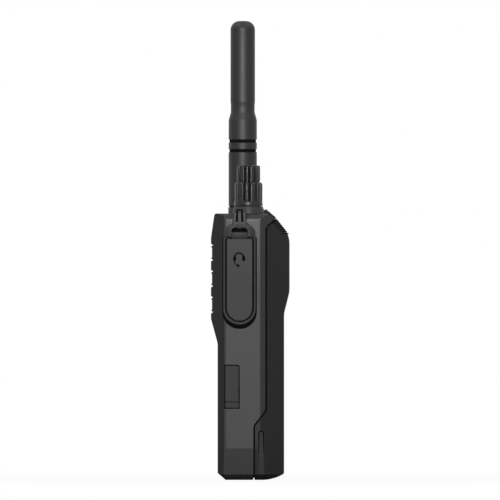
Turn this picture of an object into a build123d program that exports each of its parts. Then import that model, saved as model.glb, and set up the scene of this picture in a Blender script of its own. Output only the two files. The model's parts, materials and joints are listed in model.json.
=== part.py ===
from build123d import *
import os

os.makedirs("parts", exist_ok=True)

# A hand-held two-way radio, standing on its base. +Z is up, the front with the
# speaker faces -Y, the battery is the back (+Y), the push-to-talk side is -X and
# the accessory port with its dust cover is the +X side. The origin is on the base.
# Sizes are in millimetres.

# ---------------------------------------------------------------- driving sizes
# Clearances
seam_gap = 0.5               # battery to radio
fit_gap = 0.15               # pieces fastened to each other
slide_gap = 0.25             # around a button that moves
bore_gap = 0.05              # shaft in its hole, on the radius
cut_past = 0.5               # how far a cut starts outside the face it opens

# Casing
body_width = 54.0            # flat side to flat side
body_height = 127.4          # base to top deck
wall = 2.0                   # moulded walls of the radio
base_front_y = -11.8         # front edge of the base
front_y = -15.6              # lower front face
front_bevel_top = 3.35       # top of the bevel along the front of the base
crown_y = -18.8              # raised speaker part of the front
crown_slope_low_drop = 62.1  # the crown's slope, below the deck
crown_slope_high_drop = 50.4
crown_lean_drop = 11.7       # the front leans back from this far below the deck
deck_front_y = -17.1
deck_rear_y = 8.4
tip_y = 12.2                 # rear tip of the radio, over the battery
tip_drop = 2.4               # tip below the deck
seat_y = 7.2                 # battery seat
seat_drop = 3.8              # top of the seat below the tip
seat_low = 33.35
foot_y = 1.46                # the battery's foot reaches forward to here
foot_top = 26.0
side_bend_y = 4.8            # the sides turn inwards behind this
side_bend_run = 2.3
side_bend_in = 0.9
cover_seam_y = -12.6         # seam between front cover and main housing
corner_in = 6.0              # how far the front corners are cut back
plan_margin = 0.3            # the plan outline passes the front and back by this
base_taper_top = 15.1        # below this the sides taper inwards
base_taper = 1.3
base_corner_r = 2.0
base_bend_r = 3.0
shoulder_r = 3.5
side_bends = (0.6, 0.8, 8.0, 3.0, 6.0, 1.2, 1.0, 0.4, 4.0, 4.0, 4.0, 0.5)
plan_bends = (2.5, 4.0, 1.5, 1.5, 3.5)

# Battery
battery_y = 16.19            # lower back face
bulge_y = 18.81              # upper back face
bulge_low = 79.6
bulge_high = 90.0
back_bend_r = 12.0
slope_drop = 10.2            # the upper back ends this far below the deck
peak_out = 0.1               # where the back's slope aims, past the radio's tip
peak_up = 0.2
base_flat_y = 6.0
battery_corner_in = 7.4      # corners of the battery's back, in from the sides
battery_wall = 1.6
groove_y = 5.2               # charger guide groove in the battery's sides
groove_width = 2.6
groove_top = 23.6
groove_depth = 1.0
groove_side_in = 0.4         # the side has already turned in by this at the groove
groove_below = 4.0           # the groove's slot starts this far under the base
base_curve_y = 12.3          # the battery's underside curves up through here
base_curve_z = 1.15
base_edge_y = 15.8
base_edge_z = 2.75
base_edge_rise = 0.7
hook_x = 12.0                # hooks that hold the battery's foot in the radio
hook_width = 5.0
hook_reach = 1.3
hook_low = 0.9
hook_high = 2.2
foot_round = 0.6             # the battery tilts about its rounded front foot
lid_margin = 1.0             # the lid is this much wider and lower than the window
lid_corner = 2.0
clip_floor_y = 16.9          # undercut rails for a belt clip, open at the top
clip_lip_y = 17.8
clip_half = 9.0
clip_undercut = 1.2
clip_length = 25.2
charge_z = 12.0              # charging contacts in the lower back
charge_pitch = 8.0
charge_count = 3
charge_height = 4.6
charge_sunk = 0.2
pad_width = 3.2              # battery contact pads
pad_height = 3.6
pad_corner = 0.5
battery_board_width = 30.0
battery_board_height = 8.0
battery_board_thick = 0.7
cell_z = (27.5, 75.5)
cell_width = 34.0
cell_height = 44.0
cell_thick = 4.4
cell_corner = 2.4

# Speaker grille
rib_drop = 18.7              # middle of the top recessed band, below the deck
rib_pitch = 12.5
rib_count = 3
rib_half = 3.4               # middle of a band to its groove
rib_edge = 0.9               # outer flank of a groove
rib_flank = 0.7              # inner flank of a groove
rib_groove = 1.0             # groove depth
rib_recess = 0.5
slot_height = 1.3
slot_length = 30.0
slot_offset = 1.5            # two slots in a band, either side of its middle

# Controls on the deck
knob_y = -0.88
volume_in = 11.0             # volume axis in from the side
channel_x = -0.5
pedestal_height = 3.1
boss_r = 5.6
channel_boss_r = 6.0
shaft_r = 3.0
shaft_chamfer = 0.4
knob_lift = 0.5              # knob above its pedestal
volume_r = 6.9
volume_upper_r = 5.65
volume_step_height = 11.3    # heights above the knob's base
volume_height = 19.4
channel_r = 6.4
channel_upper_r = 5.5
channel_step_height = 7.0
channel_height = 15.0
knob_skirt = 2.6             # plain ring at the foot of a knob
skirt_flare = 0.35
skirt_round = 0.4
knob_shoulder = 1.2
knob_round = 0.9
tier_overlap = 0.1
knob_cap = 3.0               # solid top over the shaft
shaft_end_gap = 0.5
flute_count = 8
flute_r = 2.6
flute_depth = 0.75
pointer_angle = -7.0
pointer_width = 2.4
pointer_proud = 0.2
pointer_low_stop = 0.6       # the rib ends this far below the step
pointer_top_stop = 0.3
pointer_overlap = 1.0
pot_drop = 3.8               # top of the controls' bodies, below the deck
pot_height = 7.0
pot_half = 5.0
pot_floor = 2.0
pot_corner = 1.0
bushing_r = 3.5
nut_r = 5.0
nut_high = 1.8
nut_clear = 0.6              # space over the nut, inside a knob

# Antenna
antenna_in = 9.8             # antenna axis in from the other side
antenna_y = -3.6
antenna_base_r = 7.0
antenna_r = 6.74
antenna_rod_r = 5.84
antenna_neck_r = 5.53
antenna_sleeve_length = 41.3
antenna_cone_length = 4.0
antenna_neck_length = 3.9
antenna_neck_step = 0.5
antenna_rod_length = 39.9
antenna_tip_r = 4.3
ring_groove_heights = (26.8, 31.4)   # above the foot of the sheath
ring_groove_width = 1.7
ring_groove_depth = 0.7
washer_thick = 0.3
washer_inset = 0.6
collar_r = 4.2
collar_height = 8.0
core_r = 1.6
core_end_drop = 6.0
stud_r = 3.0
stud_length = 6.0
stud_chamfer = 0.5
stud_tip_gap = 0.8
socket_wall = 1.5
socket_floor = 0.7

# Accessory port and its dust cover, on the +X side
port_y = -5.1
cover_half = 7.8
panel_half = 6.3
panel_drop = 0.8             # the raised panel stops this far below the cover's top
cover_length = 42.1
cover_drop = 11.4            # top of the cover below the deck
cover_proud = 1.8
cover_lift = 0.1             # cover off the housing's side
rim_thick = 0.9
arch_leg_gap = 0.4           # heights above the cover's top
hinge_rise = 1.7
arch_inner_rise = 4.4
arch_rise = 6.1
arch_inner_half = 3.8
cover_pin_r = 0.4
pin_engage = 1.8             # pin inside each leg of the arch
knuckle_r = 0.9
knuckle_web = 1.2
knuckle_web_drop = 2.4
relief_depth = 0.6           # pocket in the housing behind the knuckle
ring_over = 0.4              # ring beyond the volume knob
ring_sunk = 0.2              # ring below the pedestal's top
neck_half_low = 3.8
neck_half_high = 2.85
neck_proud = 1.2
neck_inside = 3.0            # neck behind the rounded shoulder
neck_under = 1.3             # foot of the neck below the arch's top
neck_bend_rise = 1.8
neck_bend_in = 0.3
tongue_rise = 2.6            # thin slot round the neck's tongue
tongue_drop = 1.0
tongue_half_low = 1.1
tongue_half_high = 0.85
tongue_slot = 0.7
pocket_half = 5.4
pocket_margin_low = 6.1      # cover beyond the pocket, below and above
pocket_margin_high = 4.0
pocket_corner = 2.0
plug_depth = 1.5
seal_rib = 0.7
cover_seal_depth = 1.2
jack_large_r = 1.8
jack_small_r = 1.3
jack_wall = 0.6
barrel_wall = 1.0
barrel_end = 1.0
jack_large_rise = 22.0       # above the pocket's foot
jack_pitch = 11.0
jack_length = 14.0
flange_depth = 1.4
connector_lip = 0.8

# Side inlay, +X side
inlay_low = 34.4
inlay_high = 54.8
inlay_front_y = -12.1
inlay_rear_y = -5.4
inlay_depth = 0.6
inlay_chamfer = 1.2

# Badge recess in the front, and the status light in the deck
badge_width = 22.0
badge_height = 7.0
badge_z = 47.0
badge_depth = 0.6
badge_corner = 1.2
lens_x = -8.6
lens_y = -11.0
lens_r = 1.5
lens_inside = 2.0            # light pipe below the deck's wall

# Push-to-talk button and side keys, -X side
ptt_y = -5.1
ptt_drop = 31.4              # middle of the button below the deck
ptt_length = 36.0
ptt_width = 11.0
ptt_proud = 1.8
ptt_travel = 1.0
key_length = 9.5
key_width = 8.0
key_corner = 2.0
key_proud = 0.9
key_travel = 0.6
key_drops = (28.0, 41.0)     # middles of the keys below the button's
button_chamfer = 0.5
flange_lip = 1.0
flange_thick = 0.8
plunger_r = 1.2
plunger_length = 0.8
ptt_switch_size = 6.0
key_switch_size = 4.5

# Battery latch on the rear of the deck
latch_half = 8.0
latch_travel = 1.5
latch_rise = 2.1
latch_rear_y = 8.7
latch_rear_drop = 0.3
latch_tip_out = 0.15
latch_tip_up = 0.75
latch_tip_in = 0.3
latch_tip_thick = 0.2
latch_knee_out = 0.1
latch_teeth = 4
tooth_start = 0.7            # first tooth, as a share of the tooth pitch
tooth_depth = 0.35
stem_front_y = 6.9
stem_rear_y = 8.0
stem_half = 4.0
latch_plate_lip = 2.0        # plate beyond the stem, each side
latch_plate_extra = 2.0
latch_plate_forward = 1.3
latch_plate_thick = 1.0

# Chassis, seal and screws
window_margin = 7.5          # rear window, closed by the chassis, in from the sides
window_low = 40.0
window_drop = 15.4           # top of the window below the deck
window_corner = 3.0
chassis_thick = 2.0
chassis_clear = 0.8          # chassis to the housing's side walls
chassis_corner = 2.0
tray_margin = 4.0
seal_thick = 0.6
seal_margin = 0.3
seal_width = 0.9
screw_r = 1.25
screw_head_r = 2.2
screw_head = 1.4
head_sunk = 0.2
cross_length = 1.2           # cross recess, as shares of the head's radius
cross_width = 0.3
screw_inset = 4.0
screw_boss = 0.8
screw_boss_wall = 0.9

# Main board
board_y = -4.4
board_thick = 1.2
board_low = 6.0
board_drop = 19.4            # top of the board below the deck
board_margin = 10.0          # board in from the sides
board_corner = 1.0
board_notch_margin = 5.0
board_notch_gap = 2.0
post_r = 2.2
post_inset = 3.0
post_row_drops = (60.0, 30.0)        # below the board's top
foot_post_z = 14.0
board_screw_r = 0.9
board_screw_length = 4.5
board_screw_head_r = 1.7
board_screw_head = 1.0
screw_end_gap = 0.5
shield_height = 3.0
shield_wall = 0.3
shield_corner = 1.0
radio_can_x = -3.0
radio_can_drop = 16.0        # middle of the can below the board's top
radio_can_width = 20.0
radio_can_length = 22.0
logic_can_drop = 46.0
logic_can_side = 24.0

# Battery contacts in the radio
contact_z = 44.5
contact_pitch = 6.0
contact_count = 3
contact_r = 0.9
contact_block_width = 20.0
contact_block_height = 5.0
contact_block_corner = 1.0
block_lip = 1.0
block_lip_depth = 0.9
block_forward = 1.0

# Speaker
speaker_r = 17.0
screen_thick = 0.4
screen_over = 0.6
magnet_r = 7.0
magnet_thick = 4.0
magnet_chamfer = 0.4
basket_depth = 4.6
basket_rim = 1.5
basket_rim_thick = 1.2
basket_wall = 0.8
basket_seat = 1.2
cone_set_back = 0.2
cone_thick = 0.3
cone_depth = 2.4
cone_dome_r = 5.0
cone_dome_back = 1.1
cone_rim_gap = 0.1

# Microphone
microphone_z = 58.0
microphone_r = 3.0
microphone_length = 4.0
microphone_hole_r = 0.7
boot_wall = 1.0
microphone_end_gap = 0.2

# ---------------------------------------------------------------- derived places
half_width = body_width / 2
volume_x = half_width - volume_in
antenna_x = antenna_in - half_width
battery_corner_x = half_width - battery_corner_in
crown_lean_z = body_height - crown_lean_drop
crown_slope_low = body_height - crown_slope_low_drop
crown_slope_high = body_height - crown_slope_high_drop
tip_z = body_height - tip_drop
seat_top = tip_z - seat_drop
slope_corner_z = body_height - slope_drop
rib_top_z = body_height - rib_drop
rib_centres = [rib_top_z - rib_pitch * i for i in range(rib_count)]
speaker_z = (rib_centres[0] + rib_centres[-1]) / 2
clip_low = slope_corner_z - clip_length
ptt_z = body_height - ptt_drop
key_z = [ptt_z - drop for drop in key_drops]
pedestal_top = body_height + pedestal_height
knob_base_z = pedestal_top + knob_lift
pot_high = body_height - pot_drop
pot_low = pot_high - pot_height
insert_r = stud_r + socket_wall

cover_top = body_height - cover_drop
cover_bottom = cover_top - cover_length
arch_leg_bottom = cover_top + arch_leg_gap
cover_hinge_z = cover_top + hinge_rise
arch_inner_top = cover_top + arch_inner_rise
arch_top = cover_top + arch_rise
neck_low = arch_top - neck_under
neck_top = pedestal_top - ring_sunk
pocket_bottom = cover_bottom + pocket_margin_low
pocket_top = cover_top - pocket_margin_high
pocket_mid = (pocket_bottom + pocket_top) / 2
pocket_high = pocket_top - pocket_bottom
jack_large_z = pocket_bottom + jack_large_rise
jack_small_z = jack_large_z - jack_pitch

latch_foot_z = body_height + slide_gap
latch_top_front = (stem_front_y, body_height + latch_rise)
latch_top_rear = (latch_rear_y, body_height + latch_rise - latch_rear_drop)
latch_tip = (tip_y + latch_tip_out, tip_z + latch_tip_up)
latch_low_tip = (tip_y - latch_tip_in, tip_z + latch_tip_up - latch_tip_thick)
latch_knee = (deck_rear_y + latch_knee_out, latch_foot_z)
latch_front = (stem_front_y, latch_foot_z)

crown_inner_y = crown_y + wall
board_rear_y = board_y + board_thick
chassis_rear_y = seat_y - wall - seal_thick
chassis_front_y = chassis_rear_y - chassis_thick
window_half = half_width - window_margin
window_high = body_height - window_drop
window_mid = (window_low + window_high) / 2
window_length = window_high - window_low
screw_x = (window_half + half_width - wall) / 2
screw_z = (window_low + screw_inset, window_high - screw_inset)
screw_spots = [(x, z) for x in (-screw_x, screw_x) for z in screw_z]
hook_spots = [(-hook_x, 0), (hook_x, 0)]
board_half = half_width - board_margin
board_high = body_height - board_drop
post_rows = [board_high - drop for drop in post_row_drops]
post_x = board_half - post_inset
upper_posts = [(x, z) for x in (-post_x, post_x) for z in post_rows]
lower_posts = [(x, foot_post_z) for x in (-post_x, post_x)]
post_bore = board_screw_length - board_thick + screw_end_gap


# ---------------------------------------------------------------- the outlines
def radio_side():
    """Side view of the radio without its battery: Y across, Z up."""
    points = [
        (base_front_y, 0), (front_y, front_bevel_top),
        (front_y, crown_slope_low), (crown_y, crown_slope_high),
        (crown_y, crown_lean_z), (deck_front_y, body_height),
        (deck_rear_y, body_height), (tip_y, tip_z),
        (seat_y, seat_top), (seat_y, seat_low),
        (foot_y, foot_top), (foot_y, 0),
    ]
    with BuildSketch(Plane.YZ) as outline:
        with BuildLine():
            FilletPolyline(*points, radius=list(side_bends), close=True)
        make_face()
    return outline.sketch_local


def battery_side():
    """Side view of the battery: the back outline less the radio and the seam gap."""
    start = (base_flat_y, 0)
    edge = (base_edge_y, base_edge_z)
    corner = (battery_y, base_edge_z + base_edge_rise)
    with BuildSketch(Plane.YZ) as outline:
        with BuildLine():
            ThreePointArc(start, (base_curve_y, base_curve_z), edge)
            Line(edge, corner)
            back = FilletPolyline(
                corner, (battery_y, bulge_low), (bulge_y, bulge_high),
                (bulge_y, slope_corner_z), (tip_y + peak_out, tip_z + peak_up),
                radius=[back_bend_r] * 3,
            )
            Polyline(back @ 1, (0, tip_z), (0, 0), start)
        make_face()
        add(offset(radio_side(), amount=seam_gap, mode=Mode.PRIVATE), mode=Mode.SUBTRACT)
    return outline.sketch_local


def plan_outline():
    """Both halves seen from above: flat sides, cut front corners, sloping battery."""
    right = [
        (half_width - corner_in, crown_y - plan_margin), (half_width, cover_seam_y),
        (half_width, side_bend_y), (half_width - side_bend_in, side_bend_y + side_bend_run),
        (battery_corner_x, bulge_y + plan_margin),
    ]
    left = [(-x, y) for x, y in reversed(right)]
    bends = list(plan_bends)
    with BuildSketch(Plane.XY) as outline:
        with BuildLine():
            FilletPolyline(*right, *left, radius=bends + bends[::-1], close=True)
        make_face()
    return outline.sketch_local


def front_outline():
    """Front view: straight sides, tapered below and rounded at the shoulders."""
    right = [
        (half_width - base_taper, 0), (half_width, base_taper_top),
        (half_width, body_height),
    ]
    left = [(-x, z) for x, z in reversed(right)]
    bends = [base_corner_r, base_bend_r, shoulder_r]
    with BuildSketch(Plane.XZ) as outline:
        with BuildLine():
            FilletPolyline(*right, *left, radius=bends + bends[::-1], close=True)
        make_face()
    return outline.sketch_local


def envelope(side, inset):
    """The solid inside all three outlines, each drawn in by the inset."""
    reach = 2 * body_height
    with BuildPart() as shape:
        with BuildSketch(Plane.YZ):
            add(side)
            if inset:
                offset(amount=-inset, kind=Kind.INTERSECTION, mode=Mode.REPLACE)
        extrude(amount=body_width, both=True)
        with BuildSketch(Plane.XY):
            add(plan_outline())
            if inset:
                offset(amount=-inset, kind=Kind.INTERSECTION, mode=Mode.REPLACE)
        extrude(amount=reach, both=True, mode=Mode.INTERSECT)
        with BuildSketch(Plane.XZ):
            add(front_outline())
            if inset:
                offset(amount=-inset, kind=Kind.INTERSECTION, mode=Mode.REPLACE)
        extrude(amount=body_width, both=True, mode=Mode.INTERSECT)
    return shape.part


def write(name, builder):
    """Label a finished piece and write its file."""
    builder.part.label = name
    export_step(builder.part, "parts/" + name + ".step")


radio_outer = envelope(radio_side(), 0)
radio_inner = envelope(radio_side(), wall)
battery_outer = envelope(battery_side(), 0)
battery_inner = envelope(battery_side(), battery_wall)

# ---------------------------------------------------------------- front cover
with BuildPart() as front_cover:
    add(radio_outer)
    add(radio_inner, mode=Mode.SUBTRACT)
    split(bisect_by=Plane.XZ.offset(-cover_seam_y), keep=Keep.TOP)
    with BuildSketch(Plane.YZ):
        for z in rib_centres:
            with BuildLine():
                Polyline(
                    (crown_y - cut_past, z + rib_half + rib_edge),
                    (crown_y, z + rib_half + rib_edge),
                    (crown_y + rib_groove, z + rib_half),
                    (crown_y + rib_recess, z + rib_half - rib_flank),
                    (crown_y + rib_recess, z - rib_half + rib_flank),
                    (crown_y + rib_groove, z - rib_half),
                    (crown_y, z - rib_half - rib_edge),
                    (crown_y - cut_past, z - rib_half - rib_edge),
                    close=True,
                )
            make_face()
    extrude(amount=half_width, both=True, mode=Mode.SUBTRACT)
    with BuildSketch(Plane.XZ.offset(-crown_inner_y - cut_past)):
        for z in rib_centres:
            with Locations((0, z + slot_offset), (0, z - slot_offset)):
                SlotOverall(slot_length, slot_height)
    extrude(amount=2 * wall, mode=Mode.SUBTRACT)
    with BuildSketch(Plane.XZ.offset(-front_y)):
        with Locations((0, microphone_z)):
            Circle(microphone_hole_r)
    extrude(amount=-2 * wall, mode=Mode.SUBTRACT)
    with BuildSketch(Plane.XZ.offset(-front_y)):
        with Locations((0, badge_z)):
            RectangleRounded(badge_width, badge_height, badge_corner)
    extrude(amount=-badge_depth, mode=Mode.SUBTRACT)
write("front_cover", front_cover)

# ---------------------------------------------------------------- main housing
inlay_mid_y = (inlay_front_y + inlay_rear_y) / 2
inlay_mid_z = (inlay_low + inlay_high) / 2
inlay_width = inlay_rear_y - inlay_front_y
inlay_length = inlay_high - inlay_low
with BuildPart() as main_housing:
    add(radio_outer)
    add(radio_inner, mode=Mode.SUBTRACT)
    split(bisect_by=Plane.XZ.offset(-cover_seam_y), keep=Keep.BOTTOM)
    with BuildSketch(Plane.XY.offset(body_height - wall)):
        with Locations((volume_x, knob_y)):
            Circle(boss_r)
        with Locations((channel_x, knob_y)):
            Circle(channel_boss_r)
        with Locations((antenna_x, antenna_y)):
            Circle(antenna_base_r)
    extrude(amount=pedestal_height + wall)
    with Locations((volume_x, knob_y, pedestal_top), (channel_x, knob_y, pedestal_top)):
        Hole(bushing_r + bore_gap, 2 * wall + pedestal_height)
    with Locations((antenna_x, antenna_y, pedestal_top)):
        Hole(insert_r + bore_gap, 2 * wall + pedestal_height)
    with Locations((lens_x, lens_y, body_height)):
        Hole(lens_r, 2 * wall)
    with BuildSketch(Plane.XZ.offset(-foot_y + wall / 2)):
        with Locations(*lower_posts):
            Circle(post_r)
    extrude(amount=foot_y - wall / 2 - board_rear_y)
    with BuildSketch(Plane.XZ.offset(-board_rear_y)):
        with Locations(*lower_posts):
            Circle(board_screw_r + bore_gap)
    extrude(amount=-post_bore, mode=Mode.SUBTRACT)
    with BuildSketch(Plane.YZ.offset(half_width)):
        with Locations((port_y, pocket_mid)):
            RectangleRounded(2 * pocket_half, pocket_high, pocket_corner)
    extrude(amount=-2 * wall, mode=Mode.SUBTRACT)
    with BuildSketch(Plane.YZ.offset(half_width)):
        with Locations((port_y, (arch_leg_bottom + arch_inner_top) / 2)):
            Rectangle(2 * arch_inner_half, arch_inner_top - arch_leg_bottom)
    extrude(amount=-relief_depth, mode=Mode.SUBTRACT)
    with BuildSketch(Plane.YZ.offset(half_width)):
        with Locations((inlay_mid_y, inlay_mid_z)):
            Rectangle(inlay_width, inlay_length)
    extrude(amount=-inlay_depth, mode=Mode.SUBTRACT)
    with BuildSketch(Plane.YZ.offset(-half_width)):
        with Locations((ptt_y, ptt_z)):
            SlotOverall(ptt_length, ptt_width, rotation=90)
        for z in key_z:
            with Locations((ptt_y, z)):
                RectangleRounded(key_width, key_length, key_corner)
    extrude(amount=2 * wall, mode=Mode.SUBTRACT)
    with BuildSketch(Plane.XZ.offset(-seat_y)):
        with Locations((0, window_mid)):
            RectangleRounded(2 * window_half, window_length, window_corner)
        with Locations(*screw_spots):
            Circle(screw_r + fit_gap)
    extrude(amount=2 * wall, mode=Mode.SUBTRACT)
    with BuildSketch(Plane.XZ.offset(-seat_y)):
        with Locations(*screw_spots):
            Circle(screw_head_r + fit_gap)
    extrude(amount=screw_head, mode=Mode.SUBTRACT)
    with BuildSketch(Plane.XY.offset(body_height)):
        with Locations((0, (stem_front_y + stem_rear_y - latch_travel) / 2)):
            Rectangle(
                2 * (stem_half + slide_gap),
                stem_rear_y - stem_front_y + latch_travel + 2 * slide_gap,
            )
    extrude(amount=-2 * wall, mode=Mode.SUBTRACT)
    with BuildSketch(Plane.YZ):
        with BuildLine():
            Polyline(
                (latch_knee[0] - latch_travel, body_height),
                (latch_low_tip[0] - latch_travel, latch_low_tip[1] - slide_gap),
                (tip_y + cut_past, latch_low_tip[1] - slide_gap),
                (tip_y + cut_past, body_height + cut_past),
                (latch_knee[0] - latch_travel, body_height + cut_past), close=True,
            )
        make_face()
    extrude(amount=latch_half + slide_gap, both=True, mode=Mode.SUBTRACT)
    with BuildSketch(Plane.XZ.offset(-foot_y)):
        with Locations((0, (hook_low + hook_high) / 2)):
            with Locations(*hook_spots):
                Rectangle(hook_width + 2 * seam_gap, hook_high - hook_low + 4 * seam_gap)
    extrude(amount=hook_reach + seam_gap, mode=Mode.SUBTRACT)
write("main_housing", main_housing)

# ---------------------------------------------------------------- side inlay
with BuildPart() as side_inlay:
    with BuildSketch(Plane.YZ.offset(half_width - inlay_depth)):
        with Locations((inlay_mid_y, inlay_mid_z)):
            Rectangle(inlay_width - 2 * fit_gap, inlay_length - 2 * fit_gap)
    extrude(amount=inlay_depth - fit_gap / 2)
    corner_edge = side_inlay.edges().filter_by(Axis.X).group_by(Axis.Z)[-1]
    chamfer(corner_edge.sort_by(Axis.Y)[-1], inlay_chamfer)
write("side_inlay", side_inlay)

# ---------------------------------------------------------------- badge plate
with BuildPart() as badge_plate:
    with BuildSketch(Plane.XZ.offset(-front_y - badge_depth)):
        with Locations((0, badge_z)):
            RectangleRounded(
                badge_width - 2 * fit_gap, badge_height - 2 * fit_gap,
                badge_corner - fit_gap,
            )
    extrude(amount=badge_depth - fit_gap / 2)
write("badge_plate", badge_plate)

# ---------------------------------------------------------------- status lens
with BuildPart() as status_lens:
    with BuildSketch(Plane.XY.offset(body_height - wall - lens_inside)):
        with Locations((lens_x, lens_y)):
            Circle(lens_r - fit_gap)
    extrude(amount=wall + lens_inside)
write("status_lens", status_lens)

# ---------------------------------------------------------------- cover retainer
# A moulded strap: a ring round the volume pedestal, a neck over the shoulder and
# an arch on the side whose legs carry the dust cover's pin.
hinge_x = half_width + cover_proud / 2
ring_r = volume_r + ring_over
neck_bend_z = neck_low + neck_bend_rise
tongue_low = neck_low + tongue_rise
tongue_high = neck_top - tongue_drop
with BuildPart() as cover_retainer:
    with BuildSketch(Plane.YZ.offset(half_width)):
        with BuildLine():
            left = (port_y - cover_half, arch_leg_bottom)
            right = (port_y + cover_half, arch_leg_bottom)
            ThreePointArc(left, (port_y, arch_top), right)
            Line(right, left)
        make_face()
        with Locations((port_y, arch_leg_bottom)):
            Rectangle(
                2 * arch_inner_half, 2 * (arch_inner_top - arch_leg_bottom),
                mode=Mode.SUBTRACT,
            )
    extrude(amount=cover_proud)
    with BuildSketch(Plane.YZ.offset(half_width - shoulder_r - neck_inside)):
        with BuildLine():
            Polyline(
                (port_y - neck_half_low, neck_low), (port_y + neck_half_low, neck_low),
                (port_y + neck_half_low - neck_bend_in, neck_bend_z),
                (port_y + neck_half_high, neck_top), (port_y - neck_half_high, neck_top),
                (port_y - neck_half_low + neck_bend_in, neck_bend_z),
                close=True,
            )
        make_face()
    extrude(amount=shoulder_r + neck_inside + neck_proud)
    with BuildSketch(Plane.XY.offset(body_height)):
        with Locations((volume_x, knob_y)):
            Circle(ring_r)
    extrude(amount=neck_top - body_height)
    add(radio_outer, mode=Mode.SUBTRACT)
    with Locations((volume_x, knob_y, pedestal_top)):
        Hole(boss_r + fit_gap)
    with BuildSketch(Plane.YZ.offset(half_width)):
        with BuildLine():
            Polyline(
                (port_y - tongue_half_low - tongue_slot, tongue_low),
                (port_y - tongue_half_high - tongue_slot, tongue_high),
                (port_y + tongue_half_high + tongue_slot, tongue_high),
                (port_y + tongue_half_low + tongue_slot, tongue_low),
                (port_y + tongue_half_low, tongue_low),
                (port_y + tongue_half_high, tongue_high - tongue_slot),
                (port_y - tongue_half_high, tongue_high - tongue_slot),
                (port_y - tongue_half_low, tongue_low), close=True,
            )
        make_face()
    extrude(amount=2 * cover_proud, mode=Mode.SUBTRACT)
    with BuildSketch(Plane.XZ.offset(-port_y - cover_half)):
        with Locations((hinge_x, cover_hinge_z)):
            Circle(cover_pin_r + bore_gap)
    extrude(amount=2 * cover_half, both=True, mode=Mode.SUBTRACT)
write("cover_retainer", cover_retainer)

# ---------------------------------------------------------------- dust cover pin
pin_half = arch_inner_half + pin_engage
with BuildPart() as dust_cover_pin:
    with BuildSketch(Plane.XZ.offset(-port_y)):
        with Locations((hinge_x, cover_hinge_z)):
            Circle(cover_pin_r)
    extrude(amount=pin_half, both=True)
write("dust_cover_pin", dust_cover_pin)

# ---------------------------------------------------------------- dust cover
cover_x = half_width + cover_lift
plug_half = pocket_half - slide_gap - seal_rib
plug_high = pocket_high - 2 * (pocket_half - plug_half)
arc_z = cover_bottom + cover_half
with BuildPart() as dust_cover:
    with BuildSketch(Plane.YZ.offset(cover_x)):
        with Locations((port_y, (arc_z + cover_top) / 2)):
            Rectangle(2 * cover_half, cover_top - arc_z)
        with Locations((port_y, arc_z)):
            Circle(cover_half)
    extrude(amount=rim_thick)
    with BuildSketch(Plane.YZ.offset(cover_x)):
        with Locations((port_y, (arc_z + cover_top - panel_drop) / 2)):
            Rectangle(2 * panel_half, cover_top - panel_drop - arc_z)
        with Locations((port_y, arc_z)):
            Circle(panel_half)
    extrude(amount=half_width + cover_proud - cover_x)
    with BuildSketch(Plane.YZ.offset(cover_x)):
        with Locations((port_y, pocket_mid)):
            RectangleRounded(2 * plug_half, plug_high, pocket_corner - seal_rib)
    extrude(amount=-plug_depth - cover_lift)
    with BuildSketch(Plane.XZ.offset(-port_y)):
        with Locations((hinge_x, cover_hinge_z)):
            Circle(knuckle_r)
        with Locations((hinge_x, cover_hinge_z - knuckle_web_drop / 2)):
            Rectangle(knuckle_web, knuckle_web_drop)
    extrude(amount=arch_inner_half - slide_gap, both=True)
    with BuildSketch(Plane.XZ.offset(-port_y)):
        with Locations((hinge_x, cover_hinge_z)):
            Circle(cover_pin_r + bore_gap)
    extrude(amount=arch_inner_half, both=True, mode=Mode.SUBTRACT)
write("dust_cover", dust_cover)

# ---------------------------------------------------------------- dust cover seal
with BuildPart() as dust_cover_seal:
    with BuildSketch(Plane.YZ.offset(cover_x)):
        with Locations((port_y, pocket_mid)):
            RectangleRounded(
                2 * (pocket_half - slide_gap), pocket_high - 2 * slide_gap,
                pocket_corner - slide_gap,
            )
            RectangleRounded(
                2 * plug_half, plug_high, pocket_corner - seal_rib, mode=Mode.SUBTRACT,
            )
    extrude(amount=-cover_seal_depth)
write("dust_cover_seal", dust_cover_seal)

# ---------------------------------------------------------------- accessory connector
connector_x = half_width - wall - fit_gap
jacks = [(jack_large_z, jack_large_r), (jack_small_z, jack_small_r)]
with BuildPart() as accessory_connector:
    with BuildSketch(Plane.YZ.offset(connector_x)):
        with Locations((port_y, pocket_mid)):
            RectangleRounded(
                2 * (pocket_half + connector_lip), pocket_high + 2 * connector_lip,
                pocket_corner + connector_lip,
            )
    extrude(amount=-flange_depth)
    with BuildSketch(Plane.YZ.offset(connector_x)):
        for z, r in jacks:
            with Locations((port_y, z)):
                Circle(r + jack_wall + barrel_wall)
    extrude(amount=-jack_length - barrel_end)
    with BuildSketch(Plane.YZ.offset(connector_x)):
        for z, r in jacks:
            with Locations((port_y, z)):
                Circle(r + jack_wall)
    extrude(amount=-jack_length, mode=Mode.SUBTRACT)
write("accessory_connector", accessory_connector)

# ---------------------------------------------------------------- jack sleeves
for name, (z, r) in zip(("jack_sleeve_large", "jack_sleeve_small"), jacks):
    with BuildPart() as sleeve:
        with BuildSketch(Plane.YZ.offset(connector_x)):
            with Locations((port_y, z)):
                Circle(r + jack_wall)
                Circle(r, mode=Mode.SUBTRACT)
        extrude(amount=-jack_length)
    write(name, sleeve)

# ---------------------------------------------------------------- side buttons
inner_x = -(half_width - wall)


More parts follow.
